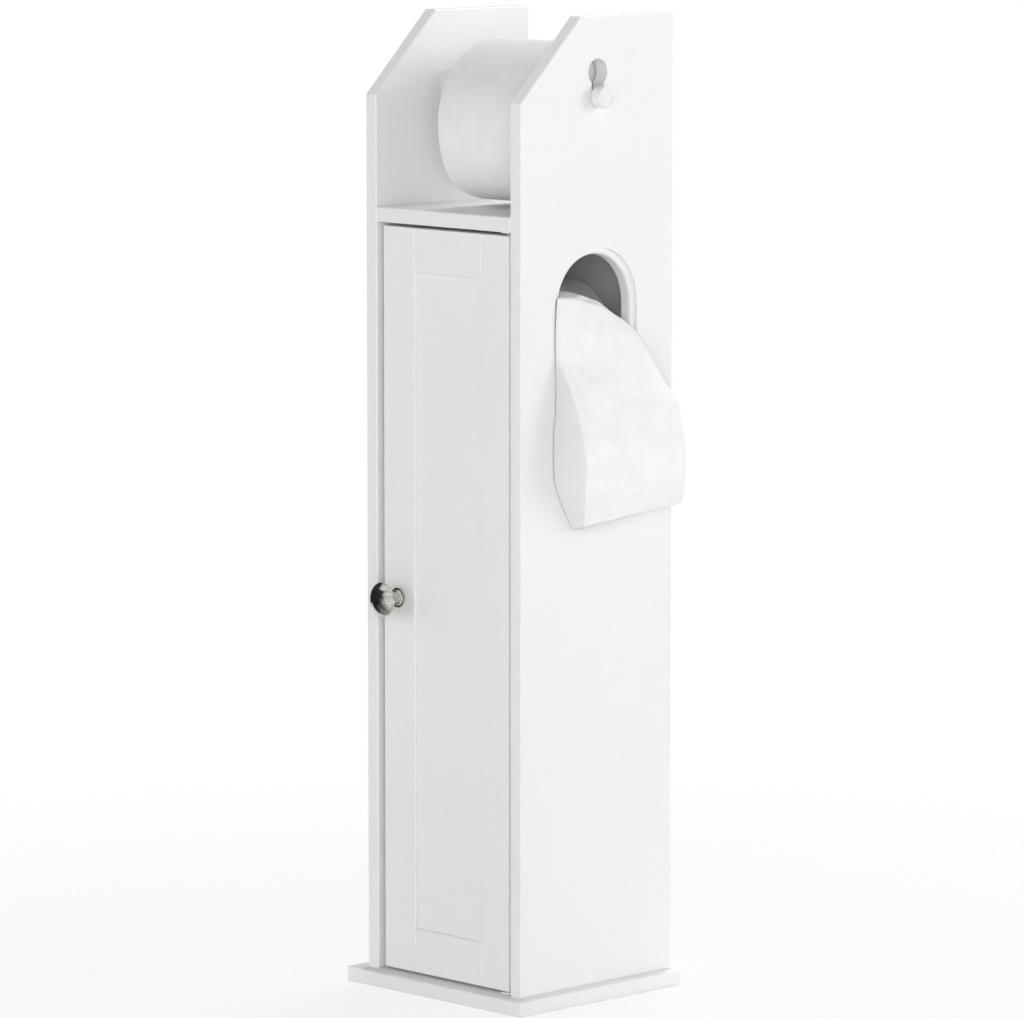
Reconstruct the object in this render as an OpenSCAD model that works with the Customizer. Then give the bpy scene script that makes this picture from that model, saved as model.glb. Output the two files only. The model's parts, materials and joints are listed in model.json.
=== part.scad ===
// Narrow floor-standing toilet roll cabinet: an open bay with a roll on a lift-out bar above,
// an arched paper outlet in the right side, and a framed door over the storage space below.
// +X is to the right seen from the front, +Y to the back, +Z up.
// The origin is the centre of the underside of the base board.

/* [Cabinet] */
// Width across the outer faces of the two side panels
body_w = 176; // [150:1:230]
// Depth of the side panels
body_d = 168; // [144:1:220]
// Height from the floor to the top of the side panels
total_h = 780; // [700:1:1000]
// Thickness of every board of the carcass
board_t = 12; // [12:0.5:18]
// How far the base board stands out at the front and at both sides
base_overhang = 12; // [4:1:30]
// Height and depth of the corner cut off the top front of each side panel
corner_cut = 65; // [20:1:80]
// Easing on the visible edges of the boards
edge_ease = 0.8; // [0.2:0.1:1.5]
// Thickness of the back panel
back_t = 3; // [3:0.5:5]
// Width of the rebate that the back panel lies in
back_rebate = 6; // [5:0.5:8]

/* [Compartments] */
// Height of the open roll bay, from its floor to the top of the side panels
roll_bay_h = 153.5; // [150:0.5:200]
// Height of the closed paper bay, from the roll shelf to the floor of the open bay
paper_bay_h = 170.8; // [160:0.2:190]
// Height of the top of the lower shelf above the floor that the cabinet stands on
lower_shelf_h = 226; // [120:1:300]
// How far the inner shelves stop behind the closed door
shelf_setback = 4.7; // [2:0.1:20]

/* [Door] */
// Gap between the door and each side panel
door_gap_side = 4.5; // [4:0.1:6]
// Gap above the door
door_gap_top = 3.1; // [3:0.1:6]
// Gap below the door
door_gap_bottom = 2; // [2:0.1:6]
// How far the door's face lies behind the front edges of the side panels
door_recess = 3.3; // [0:0.1:5]
// Thickness of the door frame
door_t = 12; // [12:0.5:18]
// Width of the rails and of the stile that carries the knob
frame_w = 35.5; // [28:0.5:50]
// Width of the stile on the hinge side
hinge_stile_w = 31; // [28:0.5:50]
// How far the door panel lies behind the frame's face
panel_recess = 2.7; // [1.5:0.1:4]
// Thickness of the door panel
door_panel_t = 5; // [3:0.5:6]
// Depth of the panel groove in the stiles and rails
panel_groove = 6; // [4:0.5:10]
// Diameter of the two pivot pins
pivot_d = 5; // [4:0.5:6]
// Length of a pivot pin inside the door
pivot_grip = 20; // [12:1:30]

/* [Knob] */
// Diameter of the knob's domed cap
knob_d = 27.5; // [20:0.5:36]
// How far the knob stands out from the door
knob_reach = 25; // [18:0.5:32]
// Height of the knob above the middle of the door
knob_rise = 2.7; // [-20:0.1:20]
// Diameter of the knob's foot ring
knob_foot_d = 16; // [12:0.5:20]
// Diameter of the knob's screw
knob_screw_d = 4; // [3:0.5:5]

/* [Roll bar] */
// Diameter of the bar
bar_d = 10; // [8:0.5:12]
// Diameter of the collars on both sides of the right panel
bar_collar_d = 17.5; // [15:0.5:18]
// Depth of the bar's axis below the top of the side panels
bar_drop = 62.7; // [60:0.1:75]
// Diameter of the keyhole's round part
keyhole_d = 21; // [20:0.5:26]
// Width of the keyhole's slot
keyhole_slot_w = 13.4; // [13:0.1:14]
// Lift that brings the bar from the slot's bottom to the middle of the keyhole's round part
bar_lift = 19; // [18:0.1:30]
// Width of the open cradle at the bar's left end
cradle_w = 28; // [24:1:34]
// Thickness of the cradle
cradle_t = 10; // [6:0.5:14]

/* [Paper] */
// Diameter of the roll on the bar
top_roll_d = 128; // [90:1:130]
// How far the loosely wound paper of that roll hangs below the middle of its core
roll_sag = 4.3; // [0:0.1:6]
// Diameter of the roll in the paper bay
inner_roll_d = 120; // [90:1:120]
// Width of both rolls
roll_w = 101; // [90:1:110]
// Inner diameter of the cardboard cores
core_bore_d = 46; // [38:1:46]
// Wall of the cardboard cores
core_wall = 0.9; // [0.8:0.1:1.5]
// Thickness of the loose paper tail as a solid
tail_t = 0.8; // [0.6:0.1:1]

/* [Paper outlet] */
// Width of the arched outlet
arch_w = 79; // [70:1:90]
// Height of the outlet
arch_h = 75.8; // [66:0.1:85]
// Distance from the floor of the open bay down to the top of the outlet
arch_drop = 20.7; // [18:0.1:30]
// Rounding from the ledge round the outlet into the outlet's wall
arch_round = 2.5; // [1:0.5:3]
// Width of that ledge, with the rounding
arch_ledge_w = 5.6; // [3:0.2:8]
// Depth of the ledge below the outer face
arch_ledge_t = 2.2; // [1:0.2:4]
// Radius of the outlet's lower corners
arch_corner = 10; // [6:1:16]
// How far the outlet's middle lies behind the middle of the side panel
arch_setback = -1; // [-4:0.5:8]

/* [Fittings] */
// Diameter of the wooden dowels
dowel_d = 6; // [5:0.5:6]
// Diameter of the cam discs
cam_d = 12; // [10:0.5:14]
// Distance from a side panel to the middle of a cam disc
cam_reach = 20; // [16:1:26]
// Diameter of the shelf pins
shelf_pin_d = 5; // [4:0.5:6]
// Distance from the underside of the roll shelf down to the middle of the magnetic catch
catch_drop = 31.7; // [24:0.1:60]

/* [Fits] */
// Radial clearance of fasteners and dowels in their holes
hole_fit = 0.05; // [0.03:0.01:0.1]
// Radial clearance of the pivot pins in their bushes
pivot_fit = 0.06; // [0.03:0.01:0.09]
// Clearance between loose pieces and what they rest on
rest_gap = 0.3; // [0.2:0.05:0.5]
// Clearance under the bar, inside the top roll's core and over the shelf pins
seat_fit = 0.1; // [0.05:0.05:0.2]

/* [Hidden] */
$fn = 96;
// How far a cut runs past the face that it opens
past = 1;

// Carcass
base_w = body_w + 2 * base_overhang;
base_d = body_d + base_overhang;
front_y = -base_d / 2 + base_overhang;
back_y = base_d / 2;
mid_y = (front_y + back_y) / 2;
outer_x = body_w / 2;
inner_x = outer_x - board_t;
inner_w = 2 * inner_x;
bay_floor_z = total_h - roll_bay_h;
bay_floor_under_z = bay_floor_z - board_t;
roll_shelf_z = bay_floor_z - board_t - paper_bay_h;
back_front_y = back_y - back_t;

// Door
door_w = inner_w - 2 * door_gap_side;
door_x = door_w / 2;
door_front_y = front_y + door_recess;
door_back_y = door_front_y + door_t;
door_low_z = board_t + door_gap_bottom;
door_high_z = bay_floor_under_z - door_gap_top;
door_mid_z = (door_low_z + door_high_z) / 2;
panel_front_y = door_front_y + panel_recess;
pivot_x = door_x - door_t / 2;
pivot_y = door_front_y + door_t / 2;
shelf_front_y = door_back_y + shelf_setback;
knob_joint_x = -door_x + frame_w;
hinge_joint_x = door_x - hinge_stile_w;
door_edge_ease = 0.6;
groove_slack = 0.2;
rail_dowel_z = [door_low_z + frame_w / 2 - 3, door_high_z - frame_w / 2 + 3];

// Knob
knob_x = -door_x + frame_w / 2 - 0.75;
knob_z = door_mid_z + knob_rise;
knob_foot_t = 3;
knob_neck_d = 9;
knob_cap_low = knob_reach / 2;

// Roll bar and keyhole
bar_z = total_h - bar_drop;
keyhole_z = bar_z + bar_lift;
slot_low_z = bar_z - bar_d / 2 - seat_fit;
collar_t = 2;
collar_x = inner_x - 0.4;
bar_left_x = -inner_x + 0.5;
cap_seat_x = outer_x + 0.6;
cap_t = 9.9;
spigot_d = 6;
spigot_len = 12;

// Rolls
core_out_d = core_bore_d + 2 * core_wall;
roll_edge = 3;
top_roll_x = collar_x - collar_t - rest_gap - roll_w / 2;
top_roll_z = bar_z + bar_d / 2 + seat_fit - core_bore_d / 2;
inner_roll_z = roll_shelf_z + rest_gap + inner_roll_d / 2;
inner_roll_y = mid_y + 7.5;

// Paper outlet
arch_r = arch_w / 2;
arch_y = mid_y + arch_setback;
arch_z = bay_floor_under_z - arch_drop - arch_r;
arch_low_z = arch_z + arch_r - arch_h;

// Fittings
bolt_d = 5;
bolt_grip = 9;
dowel_len = 22;
dowel_in_panel = 8;
base_screw_d = 4;
base_screw_len = 38;
back_screw_d = 2.5;
back_screw_len = 12;
small_screw_d = 3;
cam_t = board_t - 3;
floor_joint_y = [mid_y - 50, mid_y + 54];
shelf_joint_y = [mid_y - 38, mid_y + 52];
panel_joint_y = [mid_y - 56, mid_y + 56];
back_screw_z = [for (i = [0:3]) board_t + 40 + i * (bay_floor_under_z - board_t - 80) / 3];
pin_y = [shelf_front_y + 25, back_front_y - 25];
pin_len = 16;
pin_in_panel = 8;
shelf_pin_z = lower_shelf_h - board_t - shelf_pin_d / 2 - seat_fit;
catch_h = roll_shelf_z - board_t - catch_drop;
catch_w = 44;
catch_d = 15;
plate_t = 1;
plate_w = 12;
strike_x = -door_x + 7;
catch_front_y = door_back_y + plate_t + rest_gap;
catch_back_y = catch_front_y + catch_d;
catch_mid_y = catch_front_y + catch_d / 2;
catch_x1 = strike_x + 4.5;
catch_screw_z = [catch_h - 16, catch_h + 16];
strike_screw_z = [catch_h - 15, catch_h + 15];
wood_grip = 8;
magnet_w = 6;
magnet_h = 20;
magnet_d = 8;
cradle_slot_w = bar_d + 0.8;
cradle_low_z = bar_z - bar_d / 2 - seat_fit;
cradle_high_z = bar_z + 13;
cradle_screw_z = bar_z + 4;
cradle_screw_y = [for (s = [-1, 1]) mid_y + s * (cradle_slot_w + cradle_w) / 4];

// Paper tail, as [out, back, up] from the middle of the outlet's arc on the outer face.
// Each station has its front edge, its fold and its back edge, then how far the middle of
// the sheet between fold and back edge swells outwards and upwards
roll_up = inner_roll_z - arch_z;
tail_r = inner_roll_d / 2 + rest_gap + tail_t;
tail_front = inner_roll_y - roll_w / 2 - arch_y;
tail_fold = tail_front + 15;
tail_back = inner_roll_y + roll_w / 2 - arch_y;
modelled_arch_w = 79;
widen = arch_w / modelled_arch_w;
tail_stations = [
    [on_roll(-16, tail_front), on_roll(-16, tail_fold), on_roll(-16, tail_back), 0, 0],
    [on_roll(0, tail_front), on_roll(0, tail_fold), on_roll(0, tail_back), 0, 0],
    [over_roll(13, tail_front + 1), over_roll(13, tail_fold), on_roll(13, tail_back - 2), 0, 0],
    [over_roll(26, -41), over_roll(26, -26), on_roll(26, 55), 0, 0.5],
    [[-36, -35 * widen, 9.7], [-36, -22 * widen, 9.7], [-36, 46 * widen, -7.3], 0, 4],
    [[-14, -33 * widen, 8], [-14, -21 * widen, 8.5], [-14, 37 * widen, -18.3], 0, 7],
    [[-6, -34 * widen, 7.5], [-6, -22 * widen, 7.5], [-6, 37 * widen, -21.3], 0, 8],
    [[-1, -37 * widen, 7.2], [-1, -24 * widen, 6.7], [-1, 40.5 * widen, -23.3], 0, 8],
    [[2.5, -40 * widen, 6.7], [2.5, -27 * widen, 5.2], [2.5, 44 * widen, -25.3], 1, 8],
    [[4, -42.5, -16.3], [6.5, -36, -16.3], [10, 51, -43.3], 5, 6],
    [[4, -42, -41.3], [9, -44.5, -41.3], [20, 54, -61.3], 5, 3],
    [[3, -46, -73.3], [17.5, -40.5, -73.3], [32, 59.5, -80.3], 3, 0],
    [[2, -49.5, -113.3], [24.5, -35, -112.3], [41, 57, -112.3], 2, 0],
    [[2, -46.5, -142.3], [18, -30, -139.3], [36, 62, -142.3], 2, 0],
    [[2.5, -28.5, -178], [9, -24, -175], [27, 69.5, -159.5], 1, 0]
];
last_station = len(tail_stations) - 1;
fold_cols = 2;
wide_cols = 7;

// ---- Helpers ----

// Turns a child drawn along +Z so that it runs along +X
module along_x() { rotate([0, 90, 0]) children(); }

// Turns a child drawn along +Z so that it runs along +Y
module along_y() { rotate([-90, 0, 0]) children(); }

// Repeats a child at the left and right side, mirrored
module both_sides() {
    children();
    mirror([1, 0, 0]) children();
}

// Rectangle with its corners cut off
module cut_rectangle(w, h, c) {
    polygon([[c, 0], [w - c, 0], [w, c], [w, h - c], [w - c, h], [c, h], [0, h - c], [0, c]]);
}

// Board between two opposite corners, with every edge eased
module eased_board(low, high, c = edge_ease) {
    size = high - low;
    translate(low) intersection() {
        linear_extrude(size.z) cut_rectangle(size.x, size.y, c);
        rotate([90, 0, 90]) linear_extrude(size.x) cut_rectangle(size.y, size.z, c);
        translate([0, size.y, 0]) rotate([90, 0, 0])
            linear_extrude(size.y) cut_rectangle(size.x, size.z, c);
    }
}

// Plain block between two opposite corners
module block(low, high) {
    translate(low) cube(high - low);
}

// Countersunk screw: the head's flat top is at z = 0 and the shank runs down
module countersunk_screw(d, len) {
    head_d = 2 * d;
    head_t = d / 2;
    union() {
        translate([0, 0, -head_t]) cylinder(h = head_t, d1 = d, d2 = head_d);
        translate([0, 0, -len + d]) cylinder(h = len - d, d = d);
        translate([0, 0, -len]) cylinder(h = d, d1 = 0.4, d2 = d);
    }
}

// Hole for the countersunk screw, opening at z = 0
module countersunk_hole(d, len) {
    fit = hole_fit;
    translate([0, 0, -d / 2 - fit]) cylinder(h = d / 2 + fit, d1 = d + 2 * fit, d2 = 2 * d + 4 * fit);
    translate([0, 0, -fit]) cylinder(h = past, d = 2 * d + 4 * fit);
    translate([0, 0, -len - 0.2]) cylinder(h = len, d = d + 2 * fit);
}

// ---- Carcass ----

// Corners of a side panel as [depth, height]
function side_outline() = [
    [front_y, total_h - corner_cut],
    [front_y + corner_cut, total_h],
    [back_y, total_h],
    [back_y, board_t],
    [front_y, board_t]
];

// Cuts the easing along one straight edge of a side panel, on one of its faces
module edge_easing(x, from, to) {
    run = to - from;
    side = edge_ease * sqrt(2);
    translate([x, from[0], from[1]])
        rotate([atan2(run[1], run[0]), 0, 0])
        rotate([0, 45, 0])
        translate([-side / 2, -past, -side / 2]) cube([side, norm(run) + 2 * past, side]);
}

// Holes for the fittings in a side panel, drilled as for the right side
module side_drillings() {
    fit = hole_fit;
    for (y = floor_joint_y)
        translate([inner_x - past, y, bay_floor_z - board_t / 2])
            along_x() cylinder(h = bolt_grip + 0.2 + past, d = bolt_d + 2 * fit);
    for (y = shelf_joint_y)
        translate([inner_x - past, y, roll_shelf_z - board_t / 2])
            along_x() cylinder(h = bolt_grip + 0.2 + past, d = bolt_d + 2 * fit);
    for (z = [bay_floor_z, roll_shelf_z])
        translate([inner_x - past, mid_y + 8, z - board_t / 2])
            along_x() cylinder(h = dowel_in_panel + 0.2 + past, d = dowel_d + 2 * fit);
    for (y = pin_y)
        translate([inner_x - past, y, shelf_pin_z])
            along_x() cylinder(h = pin_in_panel + 0.2 + past, d = shelf_pin_d + 2 * fit);
    for (y = panel_joint_y)
        translate([outer_x - board_t / 2, y, 0])
            cylinder(h = base_screw_len + 0.4, d = base_screw_d + 2 * fit);
    translate([outer_x - board_t / 2, mid_y, board_t - past])
        cylinder(h = dowel_len - dowel_in_panel + 0.2 + past, d = dowel_d + 2 * fit);
    for (z = back_screw_z)
        translate([inner_x + back_rebate / 2, back_y + past, z])
            rotate([90, 0, 0]) cylinder(h = back_screw_len + 0.2 + past, d = back_screw_d + 2 * fit);
}

// Side panel as on the right: cut top corner, eased edges, back rebate and drillings
module side_board() {
    corners = side_outline();
    difference() {
        translate([inner_x, 0, 0]) rotate([90, 0, 90]) linear_extrude(board_t) polygon(corners);
        for (i = [0:3])
            for (x = [inner_x, outer_x])
                if (!(i == 2 && x == inner_x))
                    edge_easing(x, corners[i], corners[i + 1]);
        for (x = [inner_x, outer_x])
            edge_easing(x, corners[4], corners[0]);
        block([inner_x - past, back_front_y, board_t - past],
              [inner_x + back_rebate, back_y + past, bay_floor_under_z]);
        side_drillings();
    }
}

// Half profile of the outlet's cut, with a ledge round its outer rim:
// x is the distance from the middle and y the depth below the outer face
module stepped_profile(r) {
    translate([0, -past]) square([r, board_t + 2 * past]);
    translate([0, -past]) square([r + arch_ledge_w, arch_ledge_t + past]);
    difference() {
        square([r + arch_round, arch_ledge_t + arch_round]);
        translate([r + arch_round, arch_ledge_t + arch_round]) circle(r = arch_round);
    }
}

// Paper outlet cut through the right panel: an arch with rounded lower corners.
// Here x runs up, y to the back and z inwards from the outer face
module outlet_cut() {
    side = arch_r - arch_corner;
    low = arch_low_z - arch_z + arch_corner;
    translate([outer_x, arch_y, arch_z]) rotate([0, -90, 0]) {
        rotate([0, 0, -90]) rotate_extrude(angle = 180) stepped_profile(arch_r);
        translate([low, 0, 0]) rotate([90, 0, 90]) linear_extrude(-low) {
            stepped_profile(arch_r);
            mirror([1, 0, 0]) stepped_profile(arch_r);
        }
        translate([low, side, 0]) rotate([0, 0, 90])
            rotate_extrude(angle = 90) stepped_profile(arch_corner);
        translate([low, -side, 0]) rotate([0, 0, 180])
            rotate_extrude(angle = 90) stepped_profile(arch_corner);
        translate([low, -side, 0]) rotate([90, 0, 180])
            linear_extrude(2 * side) stepped_profile(arch_corner);
    }
}

// Keyhole cut through the right panel
module keyhole_cut() {
    slot_r = keyhole_slot_w / 2;
    through = board_t + 2 * past;
    translate([inner_x - past, mid_y, keyhole_z]) along_x() cylinder(h = through, d = keyhole_d);
    translate([inner_x - past, mid_y, slot_low_z + slot_r])
        along_x() cylinder(h = through, r = slot_r);
    block([inner_x - past, mid_y - slot_r, slot_low_z + slot_r],
          [outer_x + past, mid_y + slot_r, keyhole_z]);
}

module side_panel_left() {
    fit = hole_fit;
    screw_hole = wood_grip + 0.4 + past;
    color("whitesmoke") difference() {
        mirror([1, 0, 0]) side_board();
        for (y = cradle_screw_y)
            translate([-inner_x + past, y, cradle_screw_z])
                rotate([0, -90, 0]) cylinder(h = screw_hole, d = small_screw_d + 2 * fit);
        for (z = catch_screw_z)
            translate([-inner_x + past, catch_mid_y, z])
                rotate([0, -90, 0]) cylinder(h = screw_hole, d = small_screw_d + 2 * fit);
    }
}

module side_panel_right() {
    color("whitesmoke") difference() {
        side_board();
        keyhole_cut();
        outlet_cut();
    }
}

module base_board() {
    fit = hole_fit;
    color("whitesmoke") difference() {
        eased_board([-base_w / 2, -base_d / 2, 0], [base_w / 2, base_d / 2, board_t]);
        both_sides() {
            for (y = panel_joint_y)
                translate([outer_x - board_t / 2, y, 1])
                    mirror([0, 0, 1]) countersunk_hole(base_screw_d, board_t + 2 * past);
            for (y = panel_joint_y)
                translate([outer_x - board_t / 2, y, -past])
                    cylinder(h = 2 + past, r = base_screw_d + 2 * fit);
            translate([outer_x - board_t / 2, mid_y, board_t - dowel_in_panel - 0.2])
                cylinder(h = dowel_in_panel + past, d = dowel_d + 2 * fit);
        }
        translate([pivot_x, pivot_y, board_t - 8.2]) cylinder(h = 8.2 + past, d = pivot_d + 3 + 2 * fit);
    }
}

// Holes in a shelf for its cam discs, cam bolts and end dowels
module shelf_drillings(top_z, joint_y) {
    fit = hole_fit;
    both_sides() {
        for (y = joint_y) {
            translate([inner_x - cam_reach, y, top_z - board_t - past])
                cylinder(h = cam_t + 0.3 + past, d = cam_d + 2 * fit);
            translate([inner_x - cam_reach, y, top_z - board_t / 2])
                along_x() cylinder(h = cam_reach + past, d = bolt_d + 0.6);
        }
        translate([inner_x - dowel_len + dowel_in_panel - 0.2, mid_y + 8, top_z - board_t / 2])
            along_x() cylinder(h = dowel_len, d = dowel_d + 2 * fit);
    }
}

module compartment_floor() {
    color("whitesmoke") difference() {
        eased_board([-inner_x, front_y, bay_floor_under_z], [inner_x, back_y, bay_floor_z]);
        shelf_drillings(bay_floor_z, floor_joint_y);
        translate([pivot_x, pivot_y, bay_floor_under_z - past])
            cylinder(h = 8.2 + past, d = pivot_d + 3 + 2 * hole_fit);
    }
}

module roll_shelf() {
    color("whitesmoke") difference() {
        eased_board([-inner_x, shelf_front_y, roll_shelf_z - board_t],
                    [inner_x, back_front_y, roll_shelf_z]);
        shelf_drillings(roll_shelf_z, shelf_joint_y);
    }
}

module lower_shelf() {
    color("whitesmoke")
        eased_board([-inner_x + 0.5, shelf_front_y, lower_shelf_h - board_t],
                    [inner_x - 0.5, back_front_y - 0.5, lower_shelf_h]);
}

module shelf_pins() {
    color("silver") both_sides()
        for (y = pin_y)
            translate([inner_x - pin_len + pin_in_panel, y, shelf_pin_z])
                along_x() cylinder(h = pin_len, d = shelf_pin_d);
}

module back_panel() {
    w = inner_x + back_rebate - 0.2;
    color("ivory") difference() {
        block([-w, back_front_y, board_t], [w, back_y, bay_floor_under_z]);
        both_sides()
            for (z = back_screw_z)
                translate([inner_x + back_rebate / 2, back_y, z])
                    rotate([-90, 0, 0]) countersunk_hole(back_screw_d, back_t + past);
    }
}

module back_screws() {
    color("silver") both_sides()
        for (z = back_screw_z)
            translate([inner_x + back_rebate / 2, back_y, z])
                rotate([-90, 0, 0]) countersunk_screw(back_screw_d, back_screw_len);
}

module base_screws() {
    color("silver") both_sides()
        for (y = panel_joint_y)
            translate([outer_x - board_t / 2, y, 1])
                mirror([0, 0, 1]) countersunk_screw(base_screw_d, base_screw_len - 1);
}

module carcass_dowels() {
    color("burlywood") both_sides() {
        translate([outer_x - board_t / 2, mid_y, board_t - dowel_in_panel])
            cylinder(h = dowel_len, d = dowel_d);
        for (z = [bay_floor_z, roll_shelf_z])
            translate([inner_x - dowel_len + dowel_in_panel, mid_y + 8, z - board_t / 2])
                along_x() cylinder(h = dowel_len, d = dowel_d);
    }
}

// Bolt in the side panel with a neck and a head that its cam disc draws in
module cam_bolt() {
    neck_d = bolt_d - 2;
    translate([-cam_reach - 1, 0, 0]) along_x() {
        cylinder(h = 2, d = bolt_d - 0.4);
        cylinder(h = 5, d = neck_d);
        translate([0, 0, 5]) cylinder(h = cam_reach - 4 + bolt_grip, d = bolt_d);
    }
}

// Disc with a slot that takes the head of its bolt
module cam_disc() {
    slot_h = bolt_d + 0.4;
    difference() {
        translate([0, 0, -board_t / 2]) cylinder(h = cam_t, d = cam_d);
        block([-3, -slot_h / 2, -slot_h / 2], [cam_d, slot_h / 2, slot_h / 2]);
        block([-cam_d / 2 - past, -0.6, -board_t / 2 - past], [cam_d / 2 + past, 0.6, -board_t / 2 + 1]);
    }
}

module cam_bolts() {
    color("silver") both_sides() {
        for (y = floor_joint_y)
            translate([inner_x, y, bay_floor_z - board_t / 2]) cam_bolt();
        for (y = shelf_joint_y)
            translate([inner_x, y, roll_shelf_z - board_t / 2]) cam_bolt();
    }
}

module cam_discs() {
    color("silver") both_sides() {
        for (y = floor_joint_y)
            translate([inner_x - cam_reach, y, bay_floor_z - board_t / 2]) cam_disc();
        for (y = shelf_joint_y)
            translate([inner_x - cam_reach, y, roll_shelf_z - board_t / 2]) cam_disc();
    }
}

// Flanged pivot bush: the flange's free face is at z = 1 and the body runs down
module hinge_bush() {
    difference() {
        union() {
            cylinder(h = 1, d = pivot_d + 7);
            translate([0, 0, -8]) cylinder(h = 8, d = pivot_d + 3);
        }
        translate([0, 0, -7]) cylinder(h = 8 + past, d = pivot_d + 2 * pivot_fit);
    }
}

module hinge_bush_top() {
    color("white") translate([pivot_x, pivot_y, bay_floor_under_z]) mirror([0, 0, 1]) hinge_bush();
}

module hinge_bush_bottom() {
    color("white") translate([pivot_x, pivot_y, board_t]) hinge_bush();
}

// ---- Magnetic catch ----

module catch_body() {
    fit = hole_fit;
    color("white") difference() {
        eased_board([-inner_x, catch_front_y, catch_h - catch_w / 2],
                    [catch_x1, catch_back_y, catch_h + catch_w / 2]);
        block([strike_x - magnet_w / 2 - 0.1, catch_front_y - past, catch_h - magnet_h / 2 - 0.1],
              [strike_x + magnet_w / 2 + 0.1, catch_front_y + magnet_d + 0.1,
               catch_h + magnet_h / 2 + 0.1]);
        for (z = catch_screw_z)
            translate([catch_x1 - 1, catch_mid_y, z]) rotate([0, 90, 0]) {
                countersunk_hole(small_screw_d, catch_x1 + inner_x + past);
                translate([0, 0, -fit]) cylinder(h = 1 + past, r = small_screw_d + 2 * fit);
            }
    }
}

module catch_magnet() {
    color("dimgray")
        block([strike_x - magnet_w / 2, catch_front_y, catch_h - magnet_h / 2],
              [strike_x + magnet_w / 2, catch_front_y + magnet_d, catch_h + magnet_h / 2]);
}

module catch_screws() {
    color("silver")
        for (z = catch_screw_z)
            translate([catch_x1 - 1, catch_mid_y, z])
                rotate([0, 90, 0])
                countersunk_screw(small_screw_d, catch_x1 - 1 + inner_x + wood_grip);
}

// ---- Cradle for the bar's left end ----

module bar_cradle() {
    x0 = -inner_x;
    x1 = x0 + cradle_t;
    slot_r = cradle_slot_w / 2;
    back_wall = 0.4;
    color("white") difference() {
        union() {
            translate([x0, mid_y, bar_z]) along_x() cylinder(h = cradle_t, d = cradle_w);
            block([x0, mid_y - cradle_w / 2, bar_z], [x1, mid_y + cradle_w / 2, cradle_high_z]);
        }
        translate([x0 + back_wall, mid_y, cradle_low_z + slot_r])
            along_x() cylinder(h = cradle_t, r = slot_r);
        block([x0 + back_wall, mid_y - slot_r, cradle_low_z + slot_r],
              [x1 + past, mid_y + slot_r, cradle_high_z + past]);
        for (y = cradle_screw_y)
            translate([x1, y, cradle_screw_z])
                rotate([0, 90, 0]) countersunk_hole(small_screw_d, cradle_t + past);
    }
}

module cradle_screws() {
    color("silver")
        for (y = cradle_screw_y)
            translate([-inner_x + cradle_t, y, cradle_screw_z])
                rotate([0, 90, 0]) countersunk_screw(small_screw_d, cradle_t + wood_grip);
}

// ---- Door ----

// Holes for the dowels that join the rails to both stiles
module rail_dowel_holes() {
    for (x = [knob_joint_x, hinge_joint_x])
        for (z = rail_dowel_z)
            translate([x - dowel_len / 2 - groove_slack, pivot_y, z])
                along_x() cylinder(h = dowel_len + 2 * groove_slack, d = dowel_d + 2 * hole_fit);
}

// Room for the door panel in the grooves all round the frame
module panel_room() {
    into = panel_groove + groove_slack;
    z = frame_w - into;
    block([knob_joint_x - into, panel_front_y, door_low_z + z],
          [hinge_joint_x + into, panel_front_y + door_panel_t, door_high_z - z]);
}

// One member of the door frame between two heights and two places across
module frame_member(x0, x1, z0, z1) {
    difference() {
        eased_board([x0, door_front_y, z0], [x1, door_back_y, z1], door_edge_ease);
        panel_room();
        rail_dowel_holes();
    }
}

module door_stile_left() {
    color("whitesmoke") difference() {
        frame_member(-door_x, knob_joint_x, door_low_z, door_high_z);
        translate([knob_x, door_front_y - past, knob_z])
            along_y() cylinder(h = door_t + 2 * past, d = knob_screw_d + 2 * hole_fit);
        for (z = strike_screw_z)
            translate([strike_x, door_back_y + plate_t, z])
                rotate([-90, 0, 0]) countersunk_hole(small_screw_d, door_t - 2);
    }
}

module door_stile_right() {
    color("whitesmoke") difference() {
        frame_member(hinge_joint_x, door_x, door_low_z, door_high_z);
        for (z = [door_low_z - past, door_high_z - pivot_grip - groove_slack])
            translate([pivot_x, pivot_y, z])
                cylinder(h = pivot_grip + groove_slack + past, d = pivot_d + 2 * hole_fit);
    }
}

module door_rail_top() {
    color("whitesmoke")
        frame_member(knob_joint_x, hinge_joint_x, door_high_z - frame_w, door_high_z);
}

module door_rail_bottom() {
    color("whitesmoke")
        frame_member(knob_joint_x, hinge_joint_x, door_low_z, door_low_z + frame_w);
}

module door_panel() {
    z = frame_w - panel_groove;
    color("whitesmoke")
        block([knob_joint_x - panel_groove, panel_front_y + hole_fit, door_low_z + z],
              [hinge_joint_x + panel_groove, panel_front_y + door_panel_t - hole_fit,
               door_high_z - z]);
}

module door_dowels() {
    color("burlywood")
        for (x = [knob_joint_x, hinge_joint_x])
            for (z = rail_dowel_z)
                translate([x - dowel_len / 2, pivot_y, z])
                    along_x() cylinder(h = dowel_len, d = dowel_d);
}

module hinge_pin_top() {
    color("silver") translate([pivot_x, pivot_y, door_high_z - pivot_grip])
        cylinder(h = pivot_grip + door_gap_top + 6, d = pivot_d);
}

// The lower pin has a collar that carries the door on the bush
module hinge_pin_bottom() {
    color("silver") translate([pivot_x, pivot_y, 0]) {
        translate([0, 0, board_t - 6]) cylinder(h = door_gap_bottom + 6 + pivot_grip, d = pivot_d);
        translate([0, 0, board_t + 1.1]) cylinder(h = door_gap_bottom - 1.2, d = pivot_d + 4);
    }
}

// ---- Knob: profiles run from the door's face outwards ----

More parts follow.
